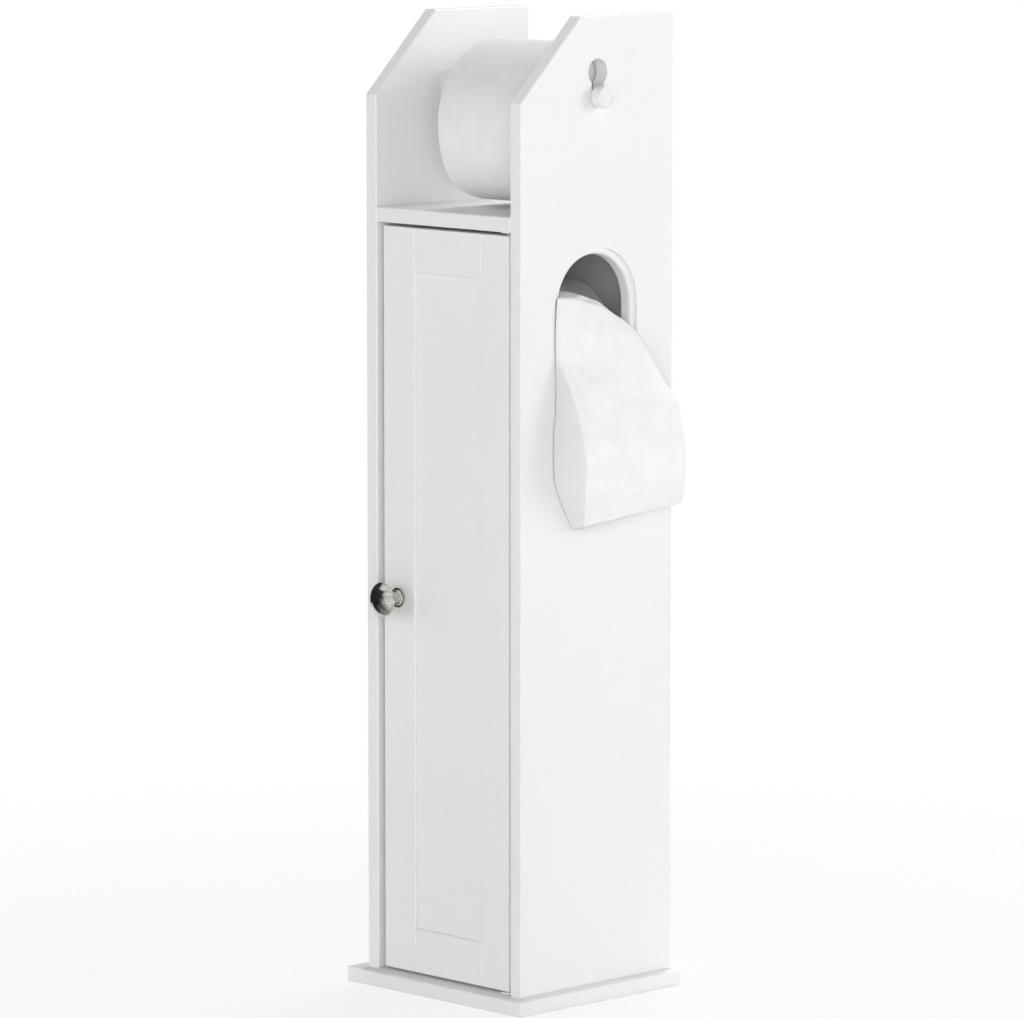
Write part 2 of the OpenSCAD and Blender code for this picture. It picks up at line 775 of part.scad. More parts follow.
// Domed cap with a rolled rim and a hollow below it
module knob_cap() {
    r = knob_d / 2;
    rim = 1.6;
    dome = 7.2;
    flare = 3.4;
    rim_z = knob_reach - dome;
    dome_r = (r * r + dome * dome) / (2 * dome);
    profile = concat(
        [[0, knob_cap_low]],
        [for (a = [0:15:90])
            [knob_neck_d / 2 + flare - flare * cos(a), knob_cap_low + flare * sin(a)]],
        [[r - rim - 1, rim_z - rim]],
        [for (a = [-90:22.5:0]) [r - rim + rim * cos(a), rim_z + rim * sin(a)]],
        [for (i = [1:12])
            let (t = asin(r / dome_r) * (1 - i / 12))
            [dome_r * sin(t), knob_reach - dome_r + dome_r * cos(t)]]
    );
    color("gray") translate([knob_x, door_front_y, knob_z]) rotate([90, 0, 0])
        difference() {
            rotate_extrude() polygon(profile);
            translate([0, 0, knob_cap_low - past])
                cylinder(h = 6 + past, d = knob_screw_d + 2 * hole_fit);
        }
}

// Ringed foot and neck
module knob_foot() {
    r = knob_foot_d / 2;
    neck_r = knob_neck_d / 2;
    neck_mid = (knob_foot_t + knob_cap_low) / 2;
    profile = [
        [0, 0], [r, 0], [r, 1.2], [r - 0.8, 2], [r - 1.6, 2], [r - 1.9, 2.6], [r - 2.6, knob_foot_t],
        [neck_r + 0.6, knob_foot_t], [neck_r, knob_foot_t + 1], [neck_r - 0.5, neck_mid],
        [neck_r, knob_cap_low], [0, knob_cap_low]
    ];
    color("gray") translate([knob_x, door_front_y, knob_z]) rotate([90, 0, 0])
        difference() {
            rotate_extrude() polygon(profile);
            translate([0, 0, -past])
                cylinder(h = knob_cap_low + 2 * past, d = knob_screw_d + 2 * hole_fit);
        }
}

module knob_screw() {
    head_t = 2.4;
    color("silver") translate([knob_x, door_back_y + head_t, knob_z]) rotate([90, 0, 0]) {
        cylinder(h = head_t, d = 2 * knob_screw_d);
        translate([0, 0, head_t]) cylinder(h = door_t + knob_cap_low + 5, d = knob_screw_d);
    }
}

// ---- Strike plate on the door's back ----

module strike_plate() {
    color("silver") difference() {
        block([strike_x - plate_w / 2, door_back_y, catch_h - 20],
              [strike_x + plate_w / 2, door_back_y + plate_t, catch_h + 20]);
        for (z = strike_screw_z)
            translate([strike_x, door_back_y + plate_t, z])
                rotate([-90, 0, 0]) countersunk_hole(small_screw_d, door_t);
    }
}

module strike_screws() {
    color("silver")
        for (z = strike_screw_z)
            translate([strike_x, door_back_y + plate_t, z])
                rotate([-90, 0, 0]) countersunk_screw(small_screw_d, door_t - 2);
}

// ---- Roll bar ----

module roll_bar() {
    color("white") difference() {
        union() {
            translate([bar_left_x, mid_y, bar_z])
                along_x() cylinder(h = cap_seat_x - bar_left_x, d = bar_d);
            translate([collar_x - collar_t, mid_y, bar_z])
                along_x() cylinder(h = collar_t, d = bar_collar_d);
        }
        translate([cap_seat_x - spigot_len - 0.4, mid_y, bar_z])
            along_x() cylinder(h = spigot_len + 0.4 + past, d = spigot_d + 2 * hole_fit);
    }
}

// Round end outside the right panel, on a spigot in the bar
module bar_end_cap() {
    r = bar_collar_d / 2;
    heel = 1;
    rim = 0.8;
    profile = concat(
        [[0, -spigot_len], [spigot_d / 2, -spigot_len], [spigot_d / 2, 0]],
        [for (a = [-90:30:0]) [r - heel + heel * cos(a), heel + heel * sin(a)]],
        [for (a = [0:30:90]) [r - rim + rim * cos(a), cap_t - rim + rim * sin(a)]],
        [[0, cap_t]]
    );
    color("white") translate([cap_seat_x, mid_y, bar_z]) along_x() rotate_extrude() polygon(profile);
}

// ---- Rolls ----

// Paper ring with rounded edges, centred, with its axis along Z. Loosely wound paper hangs
// towards +X from the middle of its hole by the sag
module paper_ring(d, sag = 0) {
    color("white") difference() {
        translate([sag, 0, 0]) rotate_extrude() {
            translate([0, -roll_w / 2]) square([d / 2 - roll_edge, roll_w]);
            translate([0, -roll_w / 2 + roll_edge]) square([d / 2, roll_w - 2 * roll_edge]);
            for (s = [-1, 1])
                translate([d / 2 - roll_edge, s * (roll_w / 2 - roll_edge)]) circle(r = roll_edge);
        }
        cylinder(h = roll_w + 2 * past, r = core_out_d / 2 + seat_fit, center = true);
    }
}

module core_ring() {
    color("tan") rotate_extrude()
        translate([core_bore_d / 2, -roll_w / 2]) square([core_wall, roll_w]);
}

module top_roll_place() {
    translate([top_roll_x, mid_y, top_roll_z]) along_x() children();
}

module inner_roll_place() {
    translate([0, inner_roll_y, inner_roll_z]) along_y() children();
}

module top_roll_paper() { top_roll_place() paper_ring(top_roll_d, roll_sag); }

module top_roll_core() { top_roll_place() core_ring(); }

module inner_roll_paper() { inner_roll_place() paper_ring(inner_roll_d); }

module inner_roll_core() { inner_roll_place() core_ring(); }

// ---- Paper tail: from the top of the inner roll through the outlet, hanging outside ----

// Point on the inner roll at an angle from its top
function on_roll(a, back) = [tail_r * sin(a) - outer_x, back, roll_up + tail_r * cos(a)];

// Point above the one on the roll, as high as the roll's top
function over_roll(a, back) = [tail_r * sin(a) - outer_x, back, roll_up + tail_r];

// Catmull-Rom blend of four values
function blend(a, b, c, d, t) =
    b + t * ((c - a) + t * ((2 * a - 5 * b + 4 * c - d) + t * (3 * b - 3 * c + d - a))) / 2;

// Station at a place between the listed ones
function station(i, t) =
    [for (part = [0:4])
        blend(tail_stations[max(i - 1, 0)][part], tail_stations[i][part],
              tail_stations[min(i + 1, last_station)][part],
              tail_stations[min(i + 2, last_station)][part], t)];

// Moves a point that lies inside the roll out to the sheet's place on it
function off_roll(p) =
    let (out = p.x + outer_x, up = p.z - roll_up, share = tail_r / norm([out, up]))
    share > 1 ? [out * share - outer_x, p.y, roll_up + up * share] : p;

// Points across the sheet at one station
function sheet_row(s) = concat(
    [for (j = [0:fold_cols]) off_roll(s[0] + (s[1] - s[0]) * j / fold_cols)],
    [for (j = [1:wide_cols])
        let (t = j / wide_cols, swell = 4 * t * (1 - t))
        off_roll(s[1] + (s[2] - s[1]) * t + swell * [s[3], 0, s[4]])]
);

tail_rows = concat(
    [for (i = [0:last_station - 1]) each [sheet_row(station(i, 0)), sheet_row(station(i, 0.5))]],
    [sheet_row(tail_stations[last_station])]
);

// Unit normal of a grid of rows at one place
function grid_normal(g, i, j) =
    let (along = g[min(i + 1, len(g) - 1)][j] - g[max(i - 1, 0)][j],
         across = g[i][min(j + 1, len(g[0]) - 1)] - g[i][max(j - 1, 0)],
         n = cross(along, across))
    n / norm(n);

// Closed sheet of even thickness around a grid of points
module thick_sheet(g, t) {
    rows = len(g);
    cols = len(g[0]);
    count = rows * cols;
    points = [for (s = [-1, 1]) for (i = [0:rows - 1]) for (j = [0:cols - 1])
        g[i][j] + grid_normal(g, i, j) * s * t / 2];
    quads = concat(
        [for (i = [0:rows - 2]) for (j = [0:cols - 2])
            [i * cols + j, (i + 1) * cols + j, (i + 1) * cols + j + 1, i * cols + j + 1]],
        [for (i = [0:rows - 2]) for (j = [0:cols - 2])
            [i * cols + j + 1, (i + 1) * cols + j + 1, (i + 1) * cols + j, i * cols + j]
                + [count, count, count, count]],
        [for (i = [0:rows - 2])
            [(i + 1) * cols, i * cols, i * cols + count, (i + 1) * cols + count]],
        [for (i = [0:rows - 2])
            [i * cols + cols - 1, (i + 1) * cols + cols - 1,
             (i + 1) * cols + cols - 1 + count, i * cols + cols - 1 + count]],
        [for (j = [0:cols - 2]) [j, j + 1, j + 1 + count, j + count]],
        [for (j = [0:cols - 2])
            let (b = (rows - 1) * cols)
            [b + j + 1, b + j, b + j + count, b + j + 1 + count]]
    );
    faces = [for (q = quads) each [[q[0], q[1], q[2]], [q[0], q[2], q[3]]]];
    polyhedron(points, faces);
}

module paper_tail() {
    color("white") translate([outer_x, arch_y, arch_z]) thick_sheet(tail_rows, tail_t);
}

base_board();
side_panel_left();
side_panel_right();
compartment_floor();
roll_shelf();
lower_shelf();
shelf_pins();
back_panel();
back_screws();
base_screws();
carcass_dowels();
cam_bolts();
cam_discs();
hinge_bush_top();
hinge_bush_bottom();
catch_body();
catch_magnet();
catch_screws();
bar_cradle();
cradle_screws();
paper_tail();
door_stile_left();
door_stile_right();
door_rail_top();
door_rail_bottom();
door_panel();
door_dowels();
hinge_pin_top();
hinge_pin_bottom();
knob_cap();
knob_foot();
knob_screw();
strike_plate();
strike_screws();
roll_bar();
bar_end_cap();
top_roll_paper();
top_roll_core();
inner_roll_paper();
inner_roll_core();
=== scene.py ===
"""Looks of a narrow white cabinet for toilet rolls, around its packed construction.

Lengths are metres in the cabinet's own frame. The object's are written in millimetres times
MM, and those of the camera, the lights and the stage in metres.
+X is to the right seen from the front, +Y to the back and +Z up.
"""
import json
import math
from bisect import bisect_left

import bmesh
import bpy
from mathutils import Matrix, Vector, noise


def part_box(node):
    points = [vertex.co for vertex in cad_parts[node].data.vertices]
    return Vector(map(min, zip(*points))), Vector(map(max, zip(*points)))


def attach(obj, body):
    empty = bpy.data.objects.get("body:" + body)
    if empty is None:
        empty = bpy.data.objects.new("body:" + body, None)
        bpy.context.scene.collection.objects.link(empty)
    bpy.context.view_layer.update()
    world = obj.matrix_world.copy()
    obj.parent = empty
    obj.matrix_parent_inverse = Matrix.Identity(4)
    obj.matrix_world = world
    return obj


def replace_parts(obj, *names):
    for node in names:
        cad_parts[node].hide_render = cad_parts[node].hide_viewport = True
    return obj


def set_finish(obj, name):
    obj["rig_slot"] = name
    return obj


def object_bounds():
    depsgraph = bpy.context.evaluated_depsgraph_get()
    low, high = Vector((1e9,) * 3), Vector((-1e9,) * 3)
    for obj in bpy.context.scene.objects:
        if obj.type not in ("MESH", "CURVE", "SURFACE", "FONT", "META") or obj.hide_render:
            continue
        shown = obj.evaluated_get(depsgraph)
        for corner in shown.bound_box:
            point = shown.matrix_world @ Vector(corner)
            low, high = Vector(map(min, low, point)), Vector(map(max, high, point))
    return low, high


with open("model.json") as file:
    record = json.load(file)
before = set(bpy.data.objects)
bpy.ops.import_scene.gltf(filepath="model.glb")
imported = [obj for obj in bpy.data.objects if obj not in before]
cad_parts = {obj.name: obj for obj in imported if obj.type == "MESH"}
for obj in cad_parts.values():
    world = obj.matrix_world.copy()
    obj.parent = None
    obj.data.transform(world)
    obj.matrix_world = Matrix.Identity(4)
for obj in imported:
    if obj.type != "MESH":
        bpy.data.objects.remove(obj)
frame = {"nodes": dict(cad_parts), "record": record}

CAD_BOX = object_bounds()
MM = 0.001
scene = bpy.context.scene


# ---- Camera, fitted to the cabinet's edges in the photo ----

CAMERA_PLACE = (3.4201, -3.3211, 1.0053)
CAMERA_PITCH = math.radians(82.584)
CAMERA_TURN = math.radians(45.8575)
CAMERA_LENS = 211.97
CAMERA_SENSOR = 36


def set_up_camera():
    data = bpy.data.cameras.new("camera")
    data.sensor_width = CAMERA_SENSOR
    data.lens = CAMERA_LENS
    camera = bpy.data.objects.new("camera", data)
    camera.location = CAMERA_PLACE
    camera.rotation_euler = (CAMERA_PITCH, 0, CAMERA_TURN)
    scene.collection.objects.link(camera)
    scene.camera = camera


# ---- Making pieces ----

WELD_TURNED = 0.0001 * MM
WELD_SOLIDS = 0.001 * MM
PLACE_DIGITS = 5


def middle(node):
    """Middle of a node's box."""
    low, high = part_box(node)
    return (low + high) / 2


def to_piece(bm, name, crease=35):
    """Object of a finished bmesh, smooth except at edges that turn by more than the crease."""
    mesh = bpy.data.meshes.new(name)
    bm.to_mesh(mesh)
    bm.free()
    mesh.shade_smooth()
    mesh.set_sharp_from_angle(angle=math.radians(crease))
    piece = bpy.data.objects.new(name, mesh)
    scene.collection.objects.link(piece)
    return piece


def turned(profile, steps, closed=False):
    """Bmesh of a profile of (radius, height) points turned about +Z."""
    bm = bmesh.new()
    corners = [bm.verts.new((radius, 0, height)) for radius, height in profile]
    ends = corners[1:] + corners[:1] if closed else corners[1:]
    sides = [bm.edges.new(pair) for pair in zip(corners, ends)]
    bmesh.ops.spin(
        bm, geom=corners + sides, cent=(0, 0, 0), axis=(0, 0, 1), dvec=(0, 0, 0),
        angle=math.tau, steps=steps, use_merge=True, use_duplicate=False,
    )
    bmesh.ops.remove_doubles(bm, verts=bm.verts, dist=WELD_TURNED)
    bmesh.ops.recalc_face_normals(bm, faces=bm.faces)
    return bm


def facing(place, direction):
    """Matrix that stands a shape made along +Z at a place, along a direction."""
    turn = Vector(direction).to_track_quat("Z", "Y").to_matrix().to_4x4()
    return Matrix.Translation(place) @ turn


def put(bm, matrix):
    """The bmesh, moved by a matrix."""
    bmesh.ops.transform(bm, matrix=matrix, verts=bm.verts)
    return bm


def arc(centre, radius, start, stop, count):
    """Points of an arc around a centre, from one angle in degrees to another."""
    angles = [math.radians(start + (stop - start) * i / count) for i in range(count + 1)]
    return [(centre[0] + radius * math.cos(a), centre[1] + radius * math.sin(a)) for a in angles]


def solids_of(node):
    """Lowest and highest corner of each separate solid of a node, in order of place."""
    bm = bmesh.new()
    bm.from_mesh(frame["nodes"][node].data)
    bmesh.ops.remove_doubles(bm, verts=bm.verts, dist=WELD_SOLIDS)
    seen = set()
    boxes = []
    for start in bm.verts:
        if start.index in seen:
            continue
        seen.add(start.index)
        island = [start]
        for vert in island:
            for edge in vert.link_edges:
                other = edge.other_vert(vert)
                if other.index not in seen:
                    seen.add(other.index)
                    island.append(other)
        places = [vert.co for vert in island]
        low = Vector(min(p[i] for p in places) for i in range(3))
        high = Vector(max(p[i] for p in places) for i in range(3))
        boxes.append((low, high))
    bm.free()
    return sorted(boxes, key=lambda box: tuple(round(x, PLACE_DIGITS) for x in box[0]))


def smooth_step(x, low, high):
    """0 up to low and 1 from high, with a smooth rise between."""
    t = min(max((x - low) / (high - low), 0), 1)
    return t * t * (3 - 2 * t)


def ripple(point, size):
    """Smooth noise from -1 to 1 with bumps of about the given size."""
    return noise.noise(Vector(point) / size)


# ---- Tissue: embossing shared by the rolls and the loose paper ----

EMBOSS_PITCH = 9 * MM
EMBOSS_HEIGHT = 0.11 * MM
# Height of the fainter dots between the rows, as a share of the others'
EMBOSS_BETWEEN = 0.35


def emboss(across, along, pitch_along=EMBOSS_PITCH):
    """Height of the embossed dots, in staggered rows, at a place on the paper."""
    dots = math.cos(math.tau * across / EMBOSS_PITCH) * math.cos(math.tau * along / pitch_along)
    return EMBOSS_HEIGHT * dots * dots * (1 if dots > 0 else EMBOSS_BETWEEN)


# ---- Loose paper that comes out of the side panel ----

OUTER_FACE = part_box("side_panel_right")[1].x
OUTLET_SETBACK = -1 * MM
OUTLET_TOP_DROP = 20.7 * MM
OUTLET_RADIUS = 39.5 * MM
# Centre of the outlet's round top, on the panel's outer face
OUTLET = Vector((
    OUTER_FACE,
    middle("side_panel_right").y + OUTLET_SETBACK,
    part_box("compartment_floor")[0].z - OUTLET_TOP_DROP - OUTLET_RADIUS,
))
PAPER_WIDTH = 101 * MM
FRONT_FOLD_WIDTH = 15 * MM
INNER_ROLL = middle("inner_roll_paper")
INNER_ROLL_RADIUS = INNER_ROLL.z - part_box("inner_roll_paper")[0].z
TAIL_RADIUS = INNER_ROLL_RADIUS + 1.1 * MM
TAIL_SNUG = 0.6 * MM
# Angles from the inner roll's top where the loose paper leaves it and where it starts
TAIL_LEAVES = 26
TAIL_STARTS = -16
TAIL_FRONT = INNER_ROLL.y - PAPER_WIDTH / 2 - OUTLET.y
TAIL_FOLD = TAIL_FRONT + FRONT_FOLD_WIDTH
TAIL_BACK = INNER_ROLL.y + PAPER_WIDTH / 2 - OUTLET.y


def on_roll(angle, back, over=False):
    """Place on the roll at an angle from its top, or above it as high as the roll's top."""
    a = math.radians(angle)
    snug = TAIL_SNUG * (TAIL_LEAVES - angle) / (TAIL_LEAVES - TAIL_STARTS)
    radius = TAIL_RADIUS - snug
    up = radius if over else radius * math.cos(a)
    return Vector((radius * math.sin(a) - OUTLET.x, back, INNER_ROLL.z - OUTLET.z + up))


def station(front, fold, back, swell_out, swell_up):
    """Edges and swell of the sheet at one place along it, from millimetres out, back and up."""
    return [Vector(p) * MM for p in (front, fold, back, (swell_out, 0, swell_up))]


# Places along the sheet: front edge, fold, back edge and swell, relative to the outlet
TAIL_STATIONS = [
    [on_roll(TAIL_STARTS, TAIL_FRONT), on_roll(TAIL_STARTS, TAIL_FOLD),
     on_roll(TAIL_STARTS, TAIL_BACK), Vector()],
    [on_roll(0, TAIL_FRONT), on_roll(0, TAIL_FOLD), on_roll(0, TAIL_BACK), Vector()],
    [on_roll(13, TAIL_FRONT + 1 * MM, True), on_roll(13, TAIL_FOLD, True),
     on_roll(13, TAIL_BACK - 2 * MM), Vector()],
    [on_roll(TAIL_LEAVES, -41 * MM, True), on_roll(TAIL_LEAVES, -26 * MM, True),
     on_roll(TAIL_LEAVES, 55 * MM), Vector((0, 0, 0.5 * MM))],
    station((-36, -35, 9.7), (-36, -22, 9.7), (-36, 46, -7.3), 0, 4),
    station((-14, -33, 8), (-14, -21, 8.5), (-14, 37, -18.3), 0, 7),
    station((-6, -34, 7.5), (-6, -22, 7.5), (-6, 37, -21.3), 0, 8),
    station((-1, -40, 7.2), (-1, -34, 6.9), (-1, 40.5, -23.3), 0, 7),
    station((1.2, -44.2, 6.2), (2.2, -41, 5.6), (2.5, 44, -25.3), 1, 7),
    station((0.9, -45.6, -16.3), (3.4, -44, -16.3), (10, 51, -43.3), 5, 6),
    station((0.9, -45.2, -41.3), (4.4, -44.8, -41.3), (20, 54, -61.3), 5, 3),
    station((0.6, -45, -73.3), (21, -45.4, -73.3), (32, 59.5, -80.3), 3, 0),
    station((0.6, -47.9, -113.3), (32.5, -45, -112.3), (41, 57, -112.3), 2, 0),
    station((0.6, -44.9, -141.3), (27, -39.5, -138.3), (36, 62, -142.3), 2, 0),
    station((0.8, -26.4, -176), (11.5, -25.5, -173), (27, 69.5, -160), 1, 0),
]
LAST_STATION = len(TAIL_STATIONS) - 1
TAIL_ROWS = 216
FOLD_COLUMNS = 14
WIDE_COLUMNS = 74
FOLD_SHARE = FOLD_COLUMNS / (FOLD_COLUMNS + WIDE_COLUMNS)
FOLD_ROUNDING = 1.8 * MM
FOLD_ROUNDING_AIM = 0.05
TAIL_THICKNESS = 0.25 * MM
# Folds that fan out below the outlet: place across the sheet, half width there, height
TAIL_FOLDS = [
    (0.29, 0.050, 0.5 * MM),
    (0.45, 0.055, -0.5 * MM),
    (0.60, 0.045, 0.5 * MM),
    (0.76, 0.050, -0.4 * MM),
]
FOLDS_TOP = 8 * MM
FOLD_REACH = 55 * MM
FOLD_LEAN = 0.10
# Folds and wobble come in between these distances from the panel's outer face
RELIEF_STARTS, RELIEF_FULL = -30 * MM, -4 * MM
CREASE_UP, CREASE_SLANT = 76 * MM, 14 * MM
CREASE_HEIGHT, CREASE_WIDTH = 0.7 * MM, 5 * MM
PERFORATION_UP = 115 * MM
PERFORATION_DEPTH, PERFORATION_WIDTH = 0.25 * MM, 1 * MM
TAIL_WOBBLE = 0.5 * MM
WIDE_WOBBLE_SIZE, FINE_WOBBLE_SIZE = 26 * MM, 9 * MM
TORN_TOOTH = 0.35 * MM
TORN_WAVE, TORN_WAVE_SIZE = 0.8 * MM, 7 * MM
# Value on the sheet's points for painted shade that greys the fold at its front, below the
# outlet's centre
PAINTED_FOLD_SHADE = "painted_fold_shade"
PAINTED_SHADE_STARTS, PAINTED_SHADE_FULL = 38 * MM, 52 * MM


def between(a, b, c, d, t):
    """Catmull-Rom blend from b to c."""
    return b + t * ((c - a) + t * ((2 * a - 5 * b + 4 * c - d) + t * (3 * b - 3 * c + d - a))) / 2


def tail_section(s):
    """Front edge, fold, back edge and swell at a place counted in stations."""
    i = min(int(s), LAST_STATION - 1)
    around = [TAIL_STATIONS[min(max(i + k, 0), LAST_STATION)] for k in (-1, 0, 1, 2)]
    return [between(*(stop[part] for stop in around), s - i) for part in range(4)]


def tail_measure(count=420):
    """Distance along the middle of the sheet at even steps through the stations."""
    lengths = [0]
    last = None
    for i in range(count + 1):
        _, fold, back, swell = tail_section(LAST_STATION * i / count)
        here = (fold + back) / 2 + swell
        if last is not None:
            lengths.append(lengths[-1] + (here - last).length)
        last = here
    return lengths


TAIL_LENGTHS = tail_measure()
TAIL_LENGTH = TAIL_LENGTHS[-1]


def tail_place(distance):
    """Place counted in stations at a distance along the sheet."""
    steps = len(TAIL_LENGTHS) - 1
    i = min(max(bisect_left(TAIL_LENGTHS, distance), 1), steps)
    low, high = TAIL_LENGTHS[i - 1], TAIL_LENGTHS[i]
    return LAST_STATION * (i - 1 + (distance - low) / (high - low)) / steps


def on_wide_part(t, fold, back, swell):
    """Point at a share of the way from the fold to the back edge, swelled most in the middle."""
    return fold.lerp(back, t) + 4 * t * (1 - t) * swell


def tail_point(across, section):
    """Point of the smooth sheet at a share of its width, relative to the outlet."""
    front, fold, back, swell = section
    if across < FOLD_SHARE:
        t = across / FOLD_SHARE
        point = front.lerp(fold, t)
        to_fold = (fold - point).length
        side = -1
    else:
        t = (across - FOLD_SHARE) / (1 - FOLD_SHARE)
        point = on_wide_part(t, fold, back, swell)
        to_fold = (point - fold).length
        side = 1
    if to_fold < FOLD_ROUNDING:
        a = fold + (front - fold).normalized() * FOLD_ROUNDING
        wide = on_wide_part(FOLD_ROUNDING_AIM, fold, back, swell) - fold
        b = fold + wide.normalized() * FOLD_ROUNDING
        t = (1 + side * to_fold / FOLD_ROUNDING) / 2
        point = a.lerp(fold, t).lerp(fold.lerp(b, t), t)
    return point


def off_roll(point):
    """Moves a point that lies inside the inner roll out to the paper's place on it."""
    out = point.x + OUTLET.x
    up = point.z + OUTLET.z - INNER_ROLL.z
    share = (TAIL_RADIUS - TAIL_SNUG) / math.hypot(out, up)
    if share <= 1:
        return point
    return Vector((out * share - OUTLET.x, point.y, INNER_ROLL.z - OUTLET.z + up * share))


def tail_relief(across, distance, point):
    """Height of folds, creases and embossing over the smooth sheet."""
    drop = max(FOLDS_TOP - point.z, 0)
    outside = smooth_step(point.x, RELIEF_STARTS, RELIEF_FULL)
    fan = outside * math.exp(-(drop / FOLD_REACH) ** 2)
    height = 0
    for place, half, size in TAIL_FOLDS:
        lean = place + FOLD_LEAN * (place - 0.5) * drop / FOLD_REACH
        height += size * fan * math.exp(-((across - lean) / half) ** 2)
    from_end = TAIL_LENGTH - distance
    past_crease = from_end - CREASE_UP + CREASE_SLANT * across
    height += CREASE_HEIGHT * math.exp(-(past_crease / CREASE_WIDTH) ** 2)
    past_perforation = from_end - PERFORATION_UP
    height -= PERFORATION_DEPTH * math.exp(-(past_perforation / PERFORATION_WIDTH) ** 2)
    wobble = ripple(point, WIDE_WOBBLE_SIZE) + 0.5 * ripple(point, FINE_WOBBLE_SIZE)
    height += outside * TAIL_WOBBLE * wobble
    return height + emboss(PAPER_WIDTH * across, distance)


def make_paper_tail():
    """Sheet from the top of the inner roll through the outlet, torn off along its perforation."""
    columns = FOLD_COLUMNS + WIDE_COLUMNS
    bm = bmesh.new()
    bmesh.ops.create_grid(bm, x_segments=columns, y_segments=TAIL_ROWS, size=0.5)
    sections = {}
    flat = {}
    for vert in bm.verts:
        across, along = vert.co.x + 0.5, vert.co.y + 0.5
        row = round(along * TAIL_ROWS)
        if row not in sections:
            sections[row] = tail_section(tail_place(TAIL_LENGTH * along))
        flat[vert] = (across, along, row)
        vert.co = off_roll(tail_point(across, sections[row]))
    bmesh.ops.reverse_faces(bm, faces=bm.faces)
    bm.normal_update()
    relief = {
        vert: vert.normal * tail_relief(across, TAIL_LENGTH * along, vert.co)
        for vert, (across, along, row) in flat.items()
    }
    for vert, (across, along, row) in flat.items():
        vert.co += relief[vert]
        if row == TAIL_ROWS:
            tooth = TORN_TOOTH if round(across * columns) % 2 else -TORN_TOOTH
            vert.co.z += tooth + TORN_WAVE * ripple(vert.co, TORN_WAVE_SIZE)
    # Painted shade: the front fold below the outlet gets a value that greys its colour
    painted_fold_shade = [
        float(across < FOLD_SHARE) * smooth_step(-vert.co.z, PAINTED_SHADE_STARTS, PAINTED_SHADE_FULL)
        for vert, (across, along, row) in flat.items()
    ]
    piece = to_piece(put(bm, Matrix.Translation(OUTLET)), "paper_tail_sheet", crease=80)
    shade = piece.data.attributes.new(PAINTED_FOLD_SHADE, "FLOAT", "POINT")
    shade.data.foreach_set("value", painted_fold_shade)
    body = piece.modifiers.new("two plies", "SOLIDIFY")
    body.thickness = TAIL_THICKNESS
    body.offset = 0
    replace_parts(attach(piece, "carcass"), "paper_tail")
    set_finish(piece, "tissue")
    return piece


# ---- Rolls ----

ROLL_EDGE = 3 * MM
CORE_CLEARANCE = 0.1 * MM
ROLL_STEPS = 264
EDGE_STEPS = 6
SURFACE_STEP = 1.5 * MM
ROLL_WAVE, ROLL_WAVE_SIZE = 0.3 * MM, 24 * MM
LAYER_PITCH = 2.4 * MM
LAYER_HEIGHT = 0.13 * MM
POINTS_PER_LAYER = 4
LAYERS_FADE_AT_CORE, ENDS_FADE_AT_SIDE = 2 * MM, 1 * MM
SLACK, SLACK_SIZE = 0.5 * MM, 18 * MM
SLACK_PATTERN_SHIFT = 0.1
LAST_SHEET_STEP = 0.35 * MM
LAST_SHEET_LIFT = 1.2 * MM
LAST_SHEET_LIFTS_FROM = 0.975
BULGE_REACH = 27
TOP_ROLL_BULGES = [(226, 4.8 * MM), (314, 3 * MM)]


def bulge(angle, bulges):
    """How far loosely wound paper bulges at an angle, from (angle, size) of each bulge."""
    turns = [((angle - place + 180) % 360 - 180, size) for place, size in bulges]
    return sum(size * math.exp(-(turn / BULGE_REACH) ** 2) for turn, size in turns)


def roll_profile(inner, outer):
    """Closed half section of a roll as (radius, height) points, with close points on its faces."""
    half = PAPER_WIDTH / 2
    flat = outer - ROLL_EDGE
    rings = round((flat - inner) / (LAYER_PITCH / POINTS_PER_LAYER))
    strips = round((PAPER_WIDTH - 2 * ROLL_EDGE) / SURFACE_STEP)
    end = [inner + (flat - inner) * i / rings for i in range(rings)]
    side = [ROLL_EDGE - half + 2 * (half - ROLL_EDGE) * i / strips for i in range(1, strips)]
    profile = [(r, -half) for r in end]
    profile += arc((flat, ROLL_EDGE - half), ROLL_EDGE, -90, 0, EDGE_STEPS)
    profile += [(outer, h) for h in side]
    profile += arc((flat, half - ROLL_EDGE), ROLL_EDGE, 0, 90, EDGE_STEPS)
    profile += [(r, half) for r in reversed(end)]
    return profile


def wound(point, inner, outer, last_edge, bulges):
    """Place of a plain roll's point on the wound one, and its looseness: 0 at the core, 1 outside.

    The looseness rises smoothly from the core to the rounded edge.
    """
    x, y, h = point
    radius = math.hypot(x, y)
    turn = math.atan2(y, x)
    half = PAPER_WIDTH / 2
    flat = outer - ROLL_EDGE
    share = (turn / math.tau - last_edge / 360) % 1
    on_side = smooth_step(radius, flat, outer)
    on_end = 1 - smooth_step(radius, flat - ENDS_FADE_AT_SIDE, outer)
    loose = smooth_step(radius, inner, flat)
    around = math.tau * outer
    dots_round = round(around / EMBOSS_PITCH)
    lift = emboss(h, share * math.tau * outer, around / dots_round)
    lift += ROLL_WAVE * ripple(point, ROLL_WAVE_SIZE)
    lift -= LAST_SHEET_STEP * (1 - share)
    lift += LAST_SHEET_LIFT * smooth_step(share, LAST_SHEET_LIFTS_FROM, 1) ** 2
    new_radius = radius + on_side * (lift - ROLL_WAVE)
    new_radius += loose * bulge(math.degrees(turn), bulges)
    new_h = h
    if abs(h) > half - ROLL_EDGE:
        layer = LAYER_HEIGHT * math.sin(math.tau * ((radius - inner) / LAYER_PITCH - share))
        layer *= smooth_step(radius, inner, inner + LAYERS_FADE_AT_CORE)
        slack = SLACK * ripple((x, y, SLACK_PATTERN_SHIFT + h), SLACK_SIZE) - SLACK
        new_h = h + math.copysign(on_end * (layer + slack), h)
    return Vector((x * new_radius / radius, y * new_radius / radius, new_h)), loose


